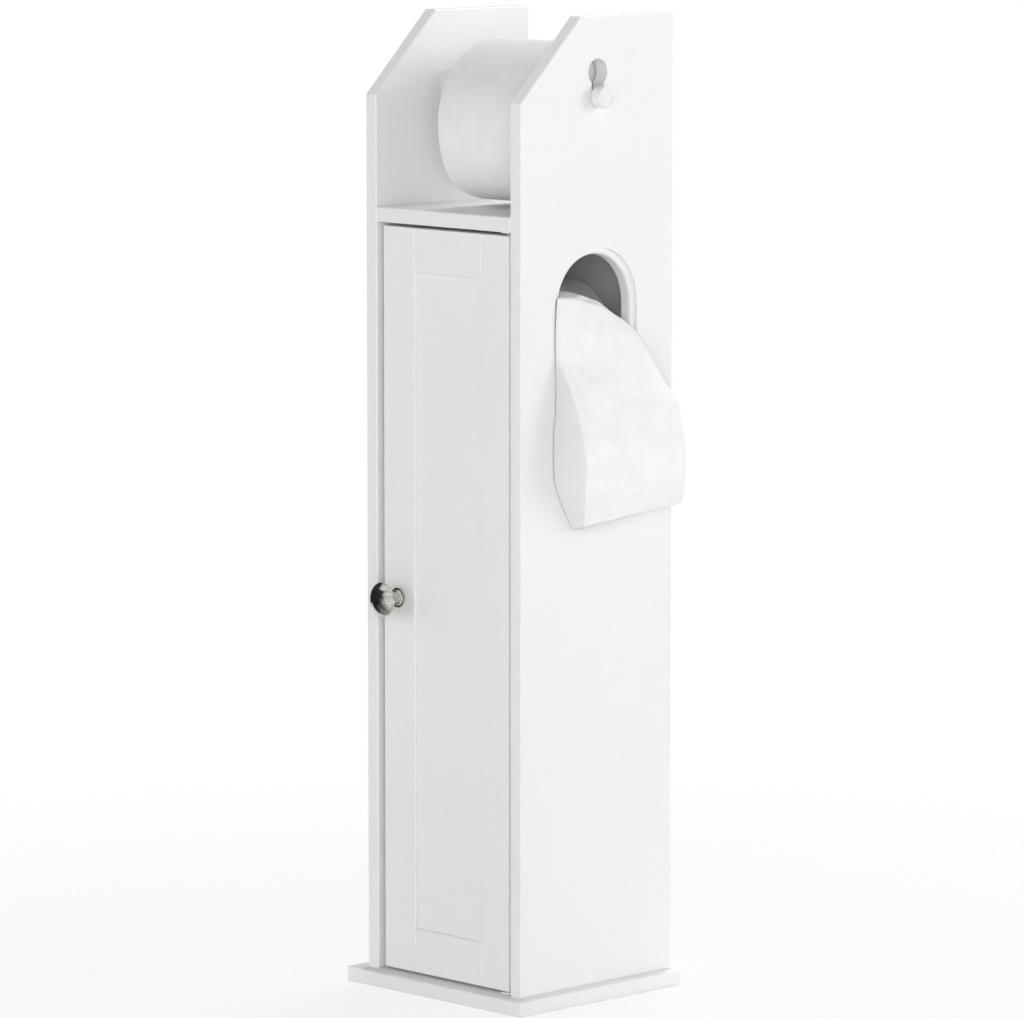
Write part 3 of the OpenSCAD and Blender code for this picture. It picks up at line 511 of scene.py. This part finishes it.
def paper_roll(name, node, core, direction, last_edge, bulges=()):
    """Wound roll with layered ends, embossed paper and the torn edge of its last sheet.

    Angles run from the back of the roll over its top.
    """
    low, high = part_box(node)
    outer = (high.z - low.z) / 2
    hole = middle(core)
    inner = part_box(core)[1].z - hole.z + CORE_CLEARANCE
    bm = turned(roll_profile(inner, outer), ROLL_STEPS, closed=True)
    place = facing(middle(node), direction)
    to_hole = place.inverted() @ hole
    for vert in bm.verts:
        vert.co, loose = wound(vert.co, inner, outer, last_edge, bulges)
        vert.co += to_hole * (1 - loose)
    piece = to_piece(put(bm, place), name, crease=50)
    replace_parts(piece, node)
    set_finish(piece, "tissue")
    return piece


def make_rolls():
    top = paper_roll(
        "top_roll_tissue", "top_roll_paper", "top_roll_core", (1, 0, 0), last_edge=-30,
        bulges=TOP_ROLL_BULGES,
    )
    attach(top, "top_roll")
    inner = paper_roll(
        "inner_roll_tissue", "inner_roll_paper", "inner_roll_core", (0, 1, 0), last_edge=-60,
    )
    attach(inner, "inner_roll")
    return top, inner


# ---- Knob ----

KNOB_REACH = 25 * MM
KNOB_RADIUS = 13.75 * MM
KNOB_NECK = 4.5 * MM
KNOB_CAP_LOW = KNOB_REACH / 2
KNOB_DOME = 7.2 * MM
KNOB_RIM = 1.6 * MM
KNOB_FLARE = 3.4 * MM
KNOB_FOOT = 8 * MM
KNOB_FOOT_UP = 3 * MM
KNOB_STEPS = 96


def knob_place():
    """Middle of the foot's face that lies on the door."""
    low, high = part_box("knob_foot")
    return Vector(((low.x + high.x) / 2, high.y, (low.z + high.z) / 2))


def make_knob_cap():
    """Domed cap with a rolled rim on a flared neck."""
    rim_up = KNOB_REACH - KNOB_DOME
    dome_radius = (KNOB_RADIUS ** 2 + KNOB_DOME ** 2) / (2 * KNOB_DOME)
    dome_angle = math.degrees(math.asin(KNOB_RADIUS / dome_radius))
    profile = [(0, KNOB_CAP_LOW)]
    profile += [
        (KNOB_NECK + KNOB_FLARE - x, KNOB_CAP_LOW + y)
        for x, y in arc((0, 0), KNOB_FLARE, 0, 90, 10)
    ]
    profile += [(KNOB_RADIUS - KNOB_RIM - 1 * MM, rim_up - KNOB_RIM)]
    profile += arc((KNOB_RADIUS - KNOB_RIM, rim_up), KNOB_RIM, -90, 0, 8)
    dome = arc((0, KNOB_REACH - dome_radius), dome_radius, 90 - dome_angle, 90, 28)
    profile += dome[1:-1] + [(0, KNOB_REACH)]
    bm = put(turned(profile, KNOB_STEPS), facing(knob_place(), (0, -1, 0)))
    piece = to_piece(bm, "knob_cap_turned", crease=40)
    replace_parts(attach(piece, "door"), "knob_cap")
    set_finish(piece, "knob_metal")
    return piece


def make_knob_foot():
    """Stepped foot ring and waisted neck."""
    waist = (KNOB_FOOT_UP + KNOB_CAP_LOW) / 2
    bevel = 0.3 * MM
    bead = 0.7 * MM
    groove = 0.5 * MM
    fillet = 1 * MM
    profile = [(0, 0), (KNOB_FOOT - bevel, 0), (KNOB_FOOT, bevel), (KNOB_FOOT, 1.0 * MM)]
    profile += arc((KNOB_FOOT - bead, 1.1 * MM), bead, 0, 90, 5)
    profile += arc((KNOB_FOOT - 1.3 * MM, 2.3 * MM), groove, -90, -180, 4)
    profile += [(KNOB_FOOT - 2.6 * MM, KNOB_FOOT_UP), (KNOB_NECK + 0.6 * MM, KNOB_FOOT_UP)]
    profile += arc((KNOB_NECK + fillet, 4.2 * MM), fillet, -110, -180, 5)
    profile += [(KNOB_NECK - 0.5 * MM, waist), (KNOB_NECK, KNOB_CAP_LOW - 0.4 * MM)]
    profile += [(KNOB_NECK, KNOB_CAP_LOW), (0, KNOB_CAP_LOW)]
    bm = put(turned(profile, KNOB_STEPS), facing(knob_place(), (0, -1, 0)))
    piece = to_piece(bm, "knob_foot_turned", crease=40)
    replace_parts(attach(piece, "door"), "knob_foot")
    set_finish(piece, "knob_metal")
    return piece


# ---- Roll bar ----

BAR_STEPS = 64


def make_roll_bar():
    """Moulded bar with rounded left end and a collar inside the right panel."""
    low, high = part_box("roll_bar")
    centre = (low + high) / 2
    bar = 5 * MM
    tip = 2 * MM
    collar = (high.z - low.z) / 2
    collar_gap = 0.4 * MM
    collar_width = 2 * MM
    collar_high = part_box("side_panel_right")[0].x - collar_gap - low.x
    collar_low = collar_high - collar_width
    length = high.x - low.x
    soft = 0.5 * MM
    profile = [(0, 0)] + arc((bar - tip, tip), tip, -90, 0, 6)
    profile += [(bar, collar_low), (collar - soft, collar_low)]
    profile += arc((collar - soft, collar_low + soft), soft, -90, 0, 4)
    profile += arc((collar - soft, collar_high - soft), soft, 0, 90, 4)
    profile += [(bar, collar_high), (bar, length), (0, length)]
    bm = put(turned(profile, BAR_STEPS), facing((low.x, centre.y, centre.z), (1, 0, 0)))
    piece = to_piece(bm, "roll_bar_moulded")
    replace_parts(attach(piece, "bar"), "roll_bar")
    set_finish(piece, "white_plastic")
    return piece


def make_bar_end():
    """Round end with a shallow dished face, on its spigot."""
    low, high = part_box("bar_end_cap")
    centre = (low + high) / 2
    radius = (high.z - low.z) / 2
    reach = 9.9 * MM
    seat = high.x - reach
    spigot = seat - low.x
    heel = 1 * MM
    rim = 0.8 * MM
    spigot_radius = 3 * MM
    profile = [(0, -spigot), (spigot_radius, -spigot), (spigot_radius, 0)]
    profile += arc((radius - heel, heel), heel, -90, 0, 6)
    profile += arc((radius - rim, reach - rim), rim, 0, 90, 6)
    profile += [(radius - 1.7 * MM, reach), (radius - 2.2 * MM, reach - 0.5 * MM)]
    profile += [(0, reach - 0.7 * MM)]
    bm = put(turned(profile, BAR_STEPS), facing((seat, centre.y, centre.z), (1, 0, 0)))
    piece = to_piece(bm, "bar_end_moulded", crease=50)
    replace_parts(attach(piece, "bar"), "bar_end_cap")
    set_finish(piece, "white_plastic")
    return piece


# ---- Screws with cross recesses ----

BLADE_TAPER = 0.45
BLADE_THICKNESS = 0.2
SCREW_STEPS = 32
# Width and depth of a countersunk screw's recess, as shares of its shank's diameter
RECESS_WIDTH, RECESS_DEPTH = 1.1, 0.35


def recess_cutter(size, depth):
    """Cross of two tapered blades, from below a head's face to above it."""
    bm = bmesh.new()
    for turn in (0, 90):
        blade = bmesh.ops.create_cube(bm, size=1)["verts"]
        for vert in blade:
            share = BLADE_TAPER if vert.co.z < 0 else 1
            vert.co = Vector((
                vert.co.x * size * share,
                vert.co.y * size * BLADE_THICKNESS,
                -depth if vert.co.z < 0 else depth,
            ))
        bmesh.ops.rotate(
            bm, verts=blade, cent=(0, 0, 0), matrix=Matrix.Rotation(math.radians(turn), 3, "Z")
        )
    return bm


def recessed(profile, face_up, size, depth):
    """Mesh of one turned screw with a cross cut into the head whose face is at face_up."""
    screw = to_piece(turned(profile, SCREW_STEPS), "screw_blank")
    cutter_bm = put(recess_cutter(size, depth), Matrix.Translation((0, 0, face_up)))
    cutter = to_piece(cutter_bm, "screw_cutter")
    cut = screw.modifiers.new("recess", "BOOLEAN")
    cut.operation = "DIFFERENCE"
    cut.solver = "EXACT"
    cut.use_self = True
    cut.object = cutter
    bpy.context.view_layer.update()
    graph = bpy.context.evaluated_depsgraph_get()
    mesh = bpy.data.meshes.new_from_object(screw.evaluated_get(graph))
    for blank in (screw, cutter):
        bpy.data.objects.remove(blank)
    return mesh


def countersunk(shank, length):
    """Profile of a countersunk screw: its head's face is at 0 and the shank runs down."""
    return [
        (0, -length), (0.2 * MM, -length), (shank / 2, -length + shank),
        (shank / 2, -shank / 2 - 0.1 * MM), (shank, -0.15 * MM), (shank, 0), (0, 0),
    ]


def make_screws(node, name, shank, direction, body):
    """Countersunk screws with heads facing a direction, one for each solid of the node."""
    way = Vector(direction)
    axis = max(range(3), key=lambda i: abs(way[i]))
    boxes = solids_of(node)
    length = boxes[0][1][axis] - boxes[0][0][axis]
    profile = countersunk(shank, length)
    mesh = recessed(profile, 0, RECESS_WIDTH * shank, RECESS_DEPTH * shank)
    bm = bmesh.new()
    for low, high in boxes:
        face = (low + high) / 2
        face[axis] = high[axis] if way[axis] > 0 else low[axis]
        single = bmesh.new()
        single.from_mesh(mesh)
        put(single, facing(face, direction))
        joined = bpy.data.meshes.new("joined")
        single.to_mesh(joined)
        single.free()
        bm.from_mesh(joined)
        bpy.data.meshes.remove(joined)
    piece = to_piece(bm, name)
    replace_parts(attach(piece, body), node)
    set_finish(piece, "zinc_steel")
    return piece


def make_knob_screw():
    """Screw through the door into the knob, with a low domed head."""
    low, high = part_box("knob_screw")
    centre = (low + high) / 2
    head = 4 * MM
    head_up = 2.4 * MM
    rim_up = 1 * MM
    shank = 2 * MM
    length = high.y - low.y
    profile = [(0, head_up - length), (shank, head_up - length), (shank, 0), (head, 0)]
    profile += [(head, rim_up)]
    profile += [(head * x, rim_up + 1.4 * MM * y) for x, y in arc((0, 0), 1, 15, 90, 6)]
    profile[-1] = (0, head_up)
    mesh = recessed(profile, head_up, size=4.4 * MM, depth=1.3 * MM)
    bm = bmesh.new()
    bm.from_mesh(mesh)
    put(bm, facing((centre.x, high.y - head_up, centre.z), (0, 1, 0)))
    piece = to_piece(bm, "knob_screw_recessed")
    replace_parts(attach(piece, "door"), "knob_screw")
    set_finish(piece, "zinc_steel")
    return piece


def make_fasteners():
    return [
        make_screws("back_screws", "back_screws_recessed", 2.5 * MM, (0, 1, 0), "carcass"),
        make_screws("base_screws", "base_screws_recessed", 4 * MM, (0, 0, -1), "carcass"),
        make_screws("catch_screws", "catch_screws_recessed", 3 * MM, (1, 0, 0), "carcass"),
        make_screws("cradle_screws", "cradle_screws_recessed", 3 * MM, (1, 0, 0), "carcass"),
        make_screws("strike_screws", "strike_screws_recessed", 3 * MM, (0, 1, 0), "door"),
        make_knob_screw(),
    ]


# ---- Finishes ----

# Pitch of a wave texture's rings, or of its bands along an axis, at a scale of 1
WAVE_PITCH = math.tau / 20


def feed(tree, socket, value):
    """Gives an input a value, or a link from another node's output."""
    if isinstance(value, bpy.types.NodeSocket):
        tree.links.new(value, socket)
    else:
        socket.default_value = value


def add_node(tree, kind, values, **settings):
    """Node with settings, and with values or links for inputs given by name or number."""
    node = tree.nodes.new(kind)
    for name, setting in settings.items():
        setattr(node, name, setting)
    for name, value in values.items():
        feed(tree, node.inputs[name], value)
    return node


class Finish:
    """One material, built up around its shader from patterns fixed to the object."""

    def __init__(self, name, metallic=0.0):
        self.material = bpy.data.materials.new(name)
        self.material.use_nodes = True
        self.tree = self.material.node_tree
        self.shader = self.tree.nodes["Principled BSDF"]
        self.shader.inputs["Metallic"].default_value = metallic
        self.place = add_node(self.tree, "ShaderNodeTexCoord", {}).outputs["Object"]
        self.relief = None

    def set(self, **values):
        """Gives the shader's inputs values or patterns."""
        for name, value in values.items():
            feed(self.tree, self.shader.inputs[name.replace("_", " ")], value)

    def painted(self, attribute):
        """Value that a piece carries on its points, 0 on pieces without it."""
        node = add_node(self.tree, "ShaderNodeAttribute", {}, attribute_name=attribute)
        return node.outputs["Fac"]

    def moved(self, centre=(0, 0, 0), turn=(0, 0, 0), stretch=(1, 1, 1)):
        """Object coordinates moved, turned and stretched."""
        values = {"Vector": self.place, "Location": centre, "Rotation": turn, "Scale": stretch}
        node = add_node(self.tree, "ShaderNodeMapping", values, vector_type="TEXTURE")
        return node.outputs["Vector"]

    def clouds(self, size, detail=2.0, vector=None):
        """Cloudy pattern from 0 to 1 with patches of about the given size."""
        values = {"Vector": vector or self.place, "Scale": 1 / size, "Detail": detail}
        return add_node(self.tree, "ShaderNodeTexNoise", values).outputs[0]

    def cells(self, size):
        """Distance to the nearest of scattered points, for a pebbled surface."""
        values = {"Vector": self.place, "Scale": 1 / size}
        return add_node(self.tree, "ShaderNodeTexVoronoi", values).outputs["Distance"]

    def rings(self, pitch, direction, vector):
        """Slightly uneven rings around an axis."""
        values = {"Vector": vector, "Scale": WAVE_PITCH / pitch, "Distortion": 0.6}
        node = add_node(
            self.tree, "ShaderNodeTexWave", values, wave_type="RINGS", rings_direction=direction
        )
        return node.outputs["Fac"]

    def bands(self, pitch, direction, vector):
        """Even bands across a direction."""
        values = {"Vector": vector, "Scale": WAVE_PITCH / pitch, "Distortion": 0.0}
        node = add_node(
            self.tree, "ShaderNodeTexWave", values, wave_type="BANDS", bands_direction=direction
        )
        return node.outputs["Fac"]

    def spread(self, pattern, low, high, start=0.3, stop=0.7):
        """Pattern stretched to run from low to high."""
        values = {
            "Value": pattern, "From Min": start, "From Max": stop, "To Min": low, "To Max": high,
        }
        return add_node(self.tree, "ShaderNodeMapRange", values).outputs["Result"]

    def mix(self, pattern, first, second):
        """First colour where the pattern is 0, second where it is 1."""
        first, second = [
            (*colour, 1) if isinstance(colour, tuple) else colour for colour in (first, second)
        ]
        values = {0: pattern, 6: first, 7: second}
        return add_node(self.tree, "ShaderNodeMix", values, data_type="RGBA").outputs[2]

    def raise_by(self, pattern, depth):
        """Adds the pattern to the surface's relief, as if it were that deep."""
        values = {"Strength": 1.0, "Distance": depth, "Height": pattern}
        if self.relief is not None:
            values["Normal"] = self.relief
        self.relief = add_node(self.tree, "ShaderNodeBump", values).outputs["Normal"]
        self.tree.links.new(self.relief, self.shader.inputs["Normal"])


def lacquered_board():
    """Satin white lacquer on fibreboard: slight orange peel and cloudy gloss."""
    finish = Finish("lacquered_board")
    patches = finish.spread(finish.clouds(120 * MM, 3), 0, 1)
    finish.set(
        Base_Color=finish.mix(patches, (0.850, 0.857, 0.852), (0.868, 0.873, 0.868)),
        Roughness=finish.spread(finish.clouds(22 * MM, 3), 0.36, 0.46),
    )
    finish.raise_by(finish.clouds(14 * MM, 2), 0.06 * MM)
    finish.raise_by(finish.clouds(1.6 * MM, 2), 0.012 * MM)
    return finish.material


def foiled_hardboard():
    """Matt white foil with a fine pebble."""
    finish = Finish("foiled_hardboard")
    patches = finish.spread(finish.clouds(80 * MM, 3), 0, 1)
    finish.set(
        Base_Color=finish.mix(patches, (0.835, 0.835, 0.815), (0.855, 0.855, 0.838)),
        Roughness=finish.spread(finish.clouds(9 * MM, 2), 0.52, 0.64),
    )
    finish.raise_by(finish.cells(0.9 * MM), 0.03 * MM)
    return finish.material


def beech():
    """Turned beech with short flecks along the grain."""
    finish = Finish("beech")
    along = finish.moved(stretch=(6, 1, 6))
    grain = finish.spread(finish.clouds(1.2 * MM, 4, along), 0, 1)
    finish.set(
        Base_Color=finish.mix(grain, (0.60, 0.41, 0.24), (0.74, 0.56, 0.36)),
        Roughness=0.65,
    )
    finish.raise_by(grain, 0.05 * MM)
    return finish.material


def zinc_plate():
    """Bright zinc plating with faint cloudy passivation."""
    finish = Finish("zinc_plate", metallic=1.0)
    clouds = finish.spread(finish.clouds(3 * MM, 3), 0, 1)
    finish.set(
        Base_Color=finish.mix(clouds, (0.60, 0.62, 0.65), (0.72, 0.71, 0.66)),
        Roughness=finish.spread(finish.clouds(1.2 * MM, 3), 0.26, 0.42),
    )
    finish.raise_by(finish.clouds(0.5 * MM, 2), 0.01 * MM)
    return finish.material


def dark_nickel():
    """Dark polished nickel with soft mottling and hairline polishing marks."""
    finish = Finish("dark_nickel", metallic=1.0)
    mottle = finish.spread(finish.clouds(4 * MM, 4), 0, 1, 0.35, 0.65)
    marks = finish.clouds(0.5 * MM, 3, finish.moved(stretch=(9, 1, 1), turn=(0, 0.4, 0)))
    finish.set(
        Base_Color=finish.mix(mottle, (0.38, 0.37, 0.345), (0.68, 0.67, 0.64)),
        Roughness=finish.spread(finish.clouds(2 * MM, 3), 0.14, 0.26),
    )
    finish.raise_by(marks, 0.004 * MM)
    finish.raise_by(finish.clouds(3.4 * MM, 3), 0.17 * MM)
    return finish.material


def moulded_plastic():
    """White moulded plastic with a finely eroded surface."""
    finish = Finish("moulded_plastic")
    patches = finish.spread(finish.clouds(12 * MM, 2), 0, 1)
    finish.set(
        Base_Color=finish.mix(patches, (0.845, 0.845, 0.835), (0.865, 0.866, 0.858)),
        Roughness=finish.spread(finish.clouds(4 * MM, 2), 0.32, 0.44),
    )
    finish.raise_by(finish.clouds(0.4 * MM, 2), 0.012 * MM)
    return finish.material


def pressed_ferrite():
    """Dark grey pressed ferrite, dull and grainy."""
    finish = Finish("pressed_ferrite")
    grain = finish.spread(finish.clouds(0.6 * MM, 4), 0, 1)
    finish.set(
        Base_Color=finish.mix(grain, (0.035, 0.035, 0.04), (0.085, 0.085, 0.09)),
        Roughness=finish.spread(finish.clouds(1.5 * MM, 2), 0.5, 0.7),
    )
    finish.raise_by(grain, 0.03 * MM)
    return finish.material


# Darker and lighter patches of the loose paper and of the rolls, and the front fold greyed as
# painted shade
SHEET_SHADE, SHEET_LIGHT = (0.890, 0.892, 0.882), (0.927, 0.928, 0.920)
PAINTED_FOLD_SHADE_COLOUR = (0.805, 0.807, 0.792)
# The rolls' paper is greyer than the loose sheet of the same paper: painted shade
PAINTED_SHADE_ROLL_DARK, PAINTED_SHADE_ROLL_PALE = (0.815, 0.818, 0.806), (0.840, 0.842, 0.832)


def tissue(name, shade, light, centre=None, direction="X"):
    """Soft crepe tissue. Loose paper has no centre and a front fold greyed as painted shade.

    A wound roll shows its layers as fine rings around its centre.
    """
    finish = Finish(name)
    patches = finish.spread(finish.clouds(15 * MM, 4), 0, 1, 0.35, 0.65)
    fibres = finish.clouds(0.7 * MM, 5, finish.moved(stretch=(1, 2.5, 1)))
    colour = finish.mix(patches, shade, light)
    # Painted shade greys the loose paper's front fold
    if centre is None:
        colour = finish.mix(finish.painted(PAINTED_FOLD_SHADE), colour, PAINTED_FOLD_SHADE_COLOUR)
    finish.set(
        Base_Color=colour,
        Roughness=finish.spread(fibres, 0.88, 1.0),
        Sheen_Weight=0.12,
        Specular_IOR_Level=0.25,
    )
    if centre is not None:
        finish.raise_by(finish.rings(0.45 * MM, direction, finish.moved(centre)), 0.05 * MM)
    finish.raise_by(fibres, 0.06 * MM)
    return finish.material


def wound_board(name, centre, turn):
    """Grey-brown board of a core, wound in a spiral of broad strips."""
    finish = Finish(name)
    local = finish.moved(centre, turn)
    seam = finish.spread(finish.bands(38 * MM, "DIAGONAL", local), 0, 1, 0.96, 1.0)
    fibres = finish.spread(finish.clouds(1.5 * MM, 5), 0, 1)
    paper = finish.mix(fibres, (0.45, 0.36, 0.26), (0.56, 0.46, 0.35))
    finish.set(
        Base_Color=finish.mix(seam, paper, (0.34, 0.27, 0.19)),
        Roughness=0.85,
        Specular_IOR_Level=0.3,
    )
    finish.raise_by(fibres, 0.05 * MM)
    finish.raise_by(seam, 0.15 * MM)
    return finish.material


# ---- Light, floor and what the metal reflects ----

# Light from level directions and from overhead, and the steepness, 0 level to 1 upright,
# between which it fades. The camera and mirrored rays see plain white instead.
SKY_LOW = 0.98
SKY_HIGH = 0.02
SKY_FADE_START = 0.1
SKY_FADE_END = 0.85
SKY_SHOWN = 1.0
FLOOR_COLOUR = (0.85, 0.85, 0.85, 1)
FLOOR_SIZE = 80
# Distances from the cabinet between which the shadow fades, and the share of it that shows
FLOOR_FADE_START = 0.25
FLOOR_FADE_END = 1.1
FLOOR_SHADOW_SHARE = 0.2
FLAG_COLOUR = (0.03, 0.03, 0.03, 1)
FLAG_PATCH = 0.3
FLAG_UNEVEN = 1.8
FLAG_FADE_START = 0.4
FLAG_FADE_END = 1.4
FLAG_LOW, FLAG_HIGH = 0.002, 1.9
FLAG_LEFT, FLAG_RIGHT = -1.3, 0.35
FLAG_FRONT, FLAG_BACK = -1.6, 1.3
FLAG_AT_DOOR = -0.12
# Name, direction from the cabinet's middle, distance, size, level and whether it is mirrored
SOFTBOXES = [
    ("back_softbox", (0.65, 0.6, 0.35), 2.4, 1.4, 0.29, True),
    ("front_softbox", (0.7, -0.7, 0.1), 3.2, 1.8, 0.35, False),
    ("left_softbox", (-0.35, -0.92, 0.18), 2.8, 1.6, 0.13, False),
    ("top_softbox", (-0.2, 0.5, 0.84), 2.8, 1.3, 0.62, True),
]


def seen_directly(tree):
    """1 for rays from the camera and those that the object mirrors or lets through, else 0."""
    rays = tree.nodes.new("ShaderNodeLightPath")
    total = rays.outputs["Is Camera Ray"]
    for kind in ("Is Glossy Ray", "Is Transmission Ray"):
        values = {0: total, 1: rays.outputs[kind]}
        total = add_node(tree, "ShaderNodeMath", values, operation="MAXIMUM").outputs[0]
    return total


def set_up_world():
    """Studio walls that are bright near the floor and dark overhead, and look white."""
    world = bpy.data.worlds.new("studio")
    scene.world = world
    world.use_nodes = True
    tree = world.node_tree
    way = tree.nodes.new("ShaderNodeTexCoord").outputs["Generated"]
    height = add_node(tree, "ShaderNodeSeparateXYZ", {"Vector": way}).outputs["Z"]
    walls = add_node(tree, "ShaderNodeMapRange", {
        "Value": height, "From Min": SKY_FADE_START, "From Max": SKY_FADE_END,
        "To Min": SKY_LOW, "To Max": SKY_HIGH,
    }, interpolation_type="SMOOTHSTEP")
    strength = add_node(tree, "ShaderNodeMapRange", {
        "Value": seen_directly(tree), "To Min": walls.outputs["Result"], "To Max": SKY_SHOWN,
    })
    background = tree.nodes["Background"]
    background.inputs["Color"].default_value = (1, 1, 1, 1)
    tree.links.new(strength.outputs["Result"], background.inputs["Strength"])


def blended_material(name, blend_of):
    """Material whose surface is a blend, from a function that gives share, first and second."""
    material = bpy.data.materials.new(name)
    material.use_nodes = True
    tree = material.node_tree
    tree.nodes.remove(tree.nodes["Principled BSDF"])
    share, first, second = blend_of(tree)
    values = {0: share, 1: first.outputs[0], 2: second.outputs[0]}
    blend = add_node(tree, "ShaderNodeMixShader", values)
    tree.links.new(blend.outputs[0], tree.nodes["Material Output"].inputs["Surface"])
    return material


def floor_blend(tree):
    """Pale floor that keeps the soft shadow near the cabinet and turns to white further out."""
    place = tree.nodes.new("ShaderNodeTexCoord").outputs["Object"]
    away = add_node(tree, "ShaderNodeVectorMath", {0: place}, operation="LENGTH")
    fade = add_node(tree, "ShaderNodeMapRange", {
        "Value": away.outputs["Value"], "From Min": FLOOR_FADE_START, "From Max": FLOOR_FADE_END,
        "To Min": 1 - FLOOR_SHADOW_SHARE,
    }, interpolation_type="SMOOTHSTEP")
    values = {0: fade.outputs["Result"], 1: seen_directly(tree)}
    shown = add_node(tree, "ShaderNodeMath", values, operation="MULTIPLY").outputs[0]
    paint = add_node(tree, "ShaderNodeBsdfDiffuse", {"Color": FLOOR_COLOUR})
    return shown, paint, tree.nodes.new("ShaderNodeEmission")


def flag_blend(tree):
    """Dark cloth that thins out in uneven patches towards the right."""
    place = tree.nodes.new("ShaderNodeTexCoord").outputs["Object"]
    side = add_node(tree, "ShaderNodeSeparateXYZ", {"Vector": place}).outputs["X"]
    values = {"Vector": place, "Scale": 1 / FLAG_PATCH, "Detail": 3}
    patches = add_node(tree, "ShaderNodeTexNoise", values).outputs[0]
    values = {0: patches, 1: FLAG_UNEVEN, 2: side}
    uneven = add_node(tree, "ShaderNodeMath", values, operation="MULTIPLY_ADD").outputs[0]
    values = {"Value": uneven, "From Min": FLAG_FADE_START, "From Max": FLAG_FADE_END}
    thin = add_node(tree, "ShaderNodeMapRange", values, interpolation_type="SMOOTHSTEP")
    cloth = add_node(tree, "ShaderNodeBsdfDiffuse", {"Color": FLAG_COLOUR})
    return thin.outputs["Result"], cloth, tree.nodes.new("ShaderNodeBsdfTransparent")


def flat_board(name, corners, material):
    """Stage board through its corners."""
    bm = bmesh.new()
    bm.faces.new([bm.verts.new(corner) for corner in corners])
    mesh = bpy.data.meshes.new(name)
    bm.to_mesh(mesh)
    bm.free()
    mesh.materials.append(material)
    board = bpy.data.objects.new(name, mesh)
    scene.collection.objects.link(board)
    return board


def set_up_floor():
    half = FLOOR_SIZE / 2
    corners = [(-half, -half, 0), (half, -half, 0), (half, half, 0), (-half, half, 0)]
    flat_board("studio_floor", corners, blended_material("studio_floor", floor_blend))


def set_up_flags():
    """Dark cloths left, in front and on the floor, seen only in the metal's reflections."""
    material = blended_material("dark_flag", flag_blend)
    left, right, front, back = FLAG_LEFT, FLAG_RIGHT, FLAG_FRONT, FLAG_BACK
    low, high, door = FLAG_LOW, FLAG_HIGH, FLAG_AT_DOOR
    flags = [
        [(left, front, low), (left, back, low), (left, back, high), (left, front, high)],
        [(left, front, low), (left, front, high), (right, front, high), (right, front, low)],
        [(left, front, low), (right, front, low), (0.0, door, low), (left, door, low)],
    ]
    for i, corners in enumerate(flags):
        flag = flat_board(f"dark_flag_{i}", corners, material)
        flag.visible_camera = False
        flag.visible_diffuse = False
        flag.visible_shadow = False
        flag.visible_transmission = False


def softbox(name, direction, distance, size, level, mirrored):
    """Square light at a direction from the cabinet's middle.

    Level is how bright it makes a white surface that faces it. A light that isn't mirrored
    shows in no reflection.
    """
    data = bpy.data.lights.new(name, "AREA")
    data.shape = "SQUARE"
    data.size = size
    data.energy = level * (math.pi * distance) ** 2
    light = bpy.data.objects.new(name, data)
    way = Vector(direction).normalized()
    light.location = (CAD_BOX[0] + CAD_BOX[1]) / 2 + way * distance
    light.rotation_mode = "QUATERNION"
    light.rotation_quaternion = way.to_track_quat("Z", "Y")
    light.visible_glossy = mirrored
    scene.collection.objects.link(light)


def set_up_lights():
    for box in SOFTBOXES:
        softbox(*box)


# ---- Putting it together ----

def make_finishes():
    top_core, inner_core = middle("top_roll_core"), middle("inner_roll_core")
    return {
        "white_board": lacquered_board(),
        "back_board": foiled_hardboard(),
        "beech": beech(),
        "zinc_steel": zinc_plate(),
        "knob_metal": dark_nickel(),
        "white_plastic": moulded_plastic(),
        "ferrite": pressed_ferrite(),
        "tissue": tissue("loose_tissue", SHEET_SHADE, SHEET_LIGHT),
        "top_roll_tissue": tissue("top_roll_tissue", PAINTED_SHADE_ROLL_DARK, PAINTED_SHADE_ROLL_PALE, top_core, "X"),
        "inner_roll_tissue": tissue("inner_roll_tissue", PAINTED_SHADE_ROLL_DARK, PAINTED_SHADE_ROLL_PALE, inner_core, "Y"),
        "top_roll_core": wound_board("top_core_board", top_core, (0, 0, 0)),
        "inner_roll_core": wound_board("inner_core_board", inner_core, (0, 0, math.pi / 2)),
    }


def finish_all(finishes, pieces):
    """Gives every node and piece the finish of its own name, or else of its slot."""
    for part in frame["record"]["subparts"]:
        node = part["node"]
        material = finishes.get(node) or finishes[part["material_slot"]]
        for slot in frame["nodes"][node].material_slots:
            slot.material = material
    for piece in pieces:
        material = finishes.get(piece.name) or finishes[piece["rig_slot"]]
        piece.data.materials.append(material)


set_up_camera()
made = [*make_rolls(), make_paper_tail()]
made += [make_knob_cap(), make_knob_foot(), make_roll_bar(), make_bar_end()]
made += make_fasteners()
finish_all(make_finishes(), made)
set_up_world()
set_up_floor()
set_up_flags()
set_up_lights()

scene.view_settings.view_transform = "Standard"
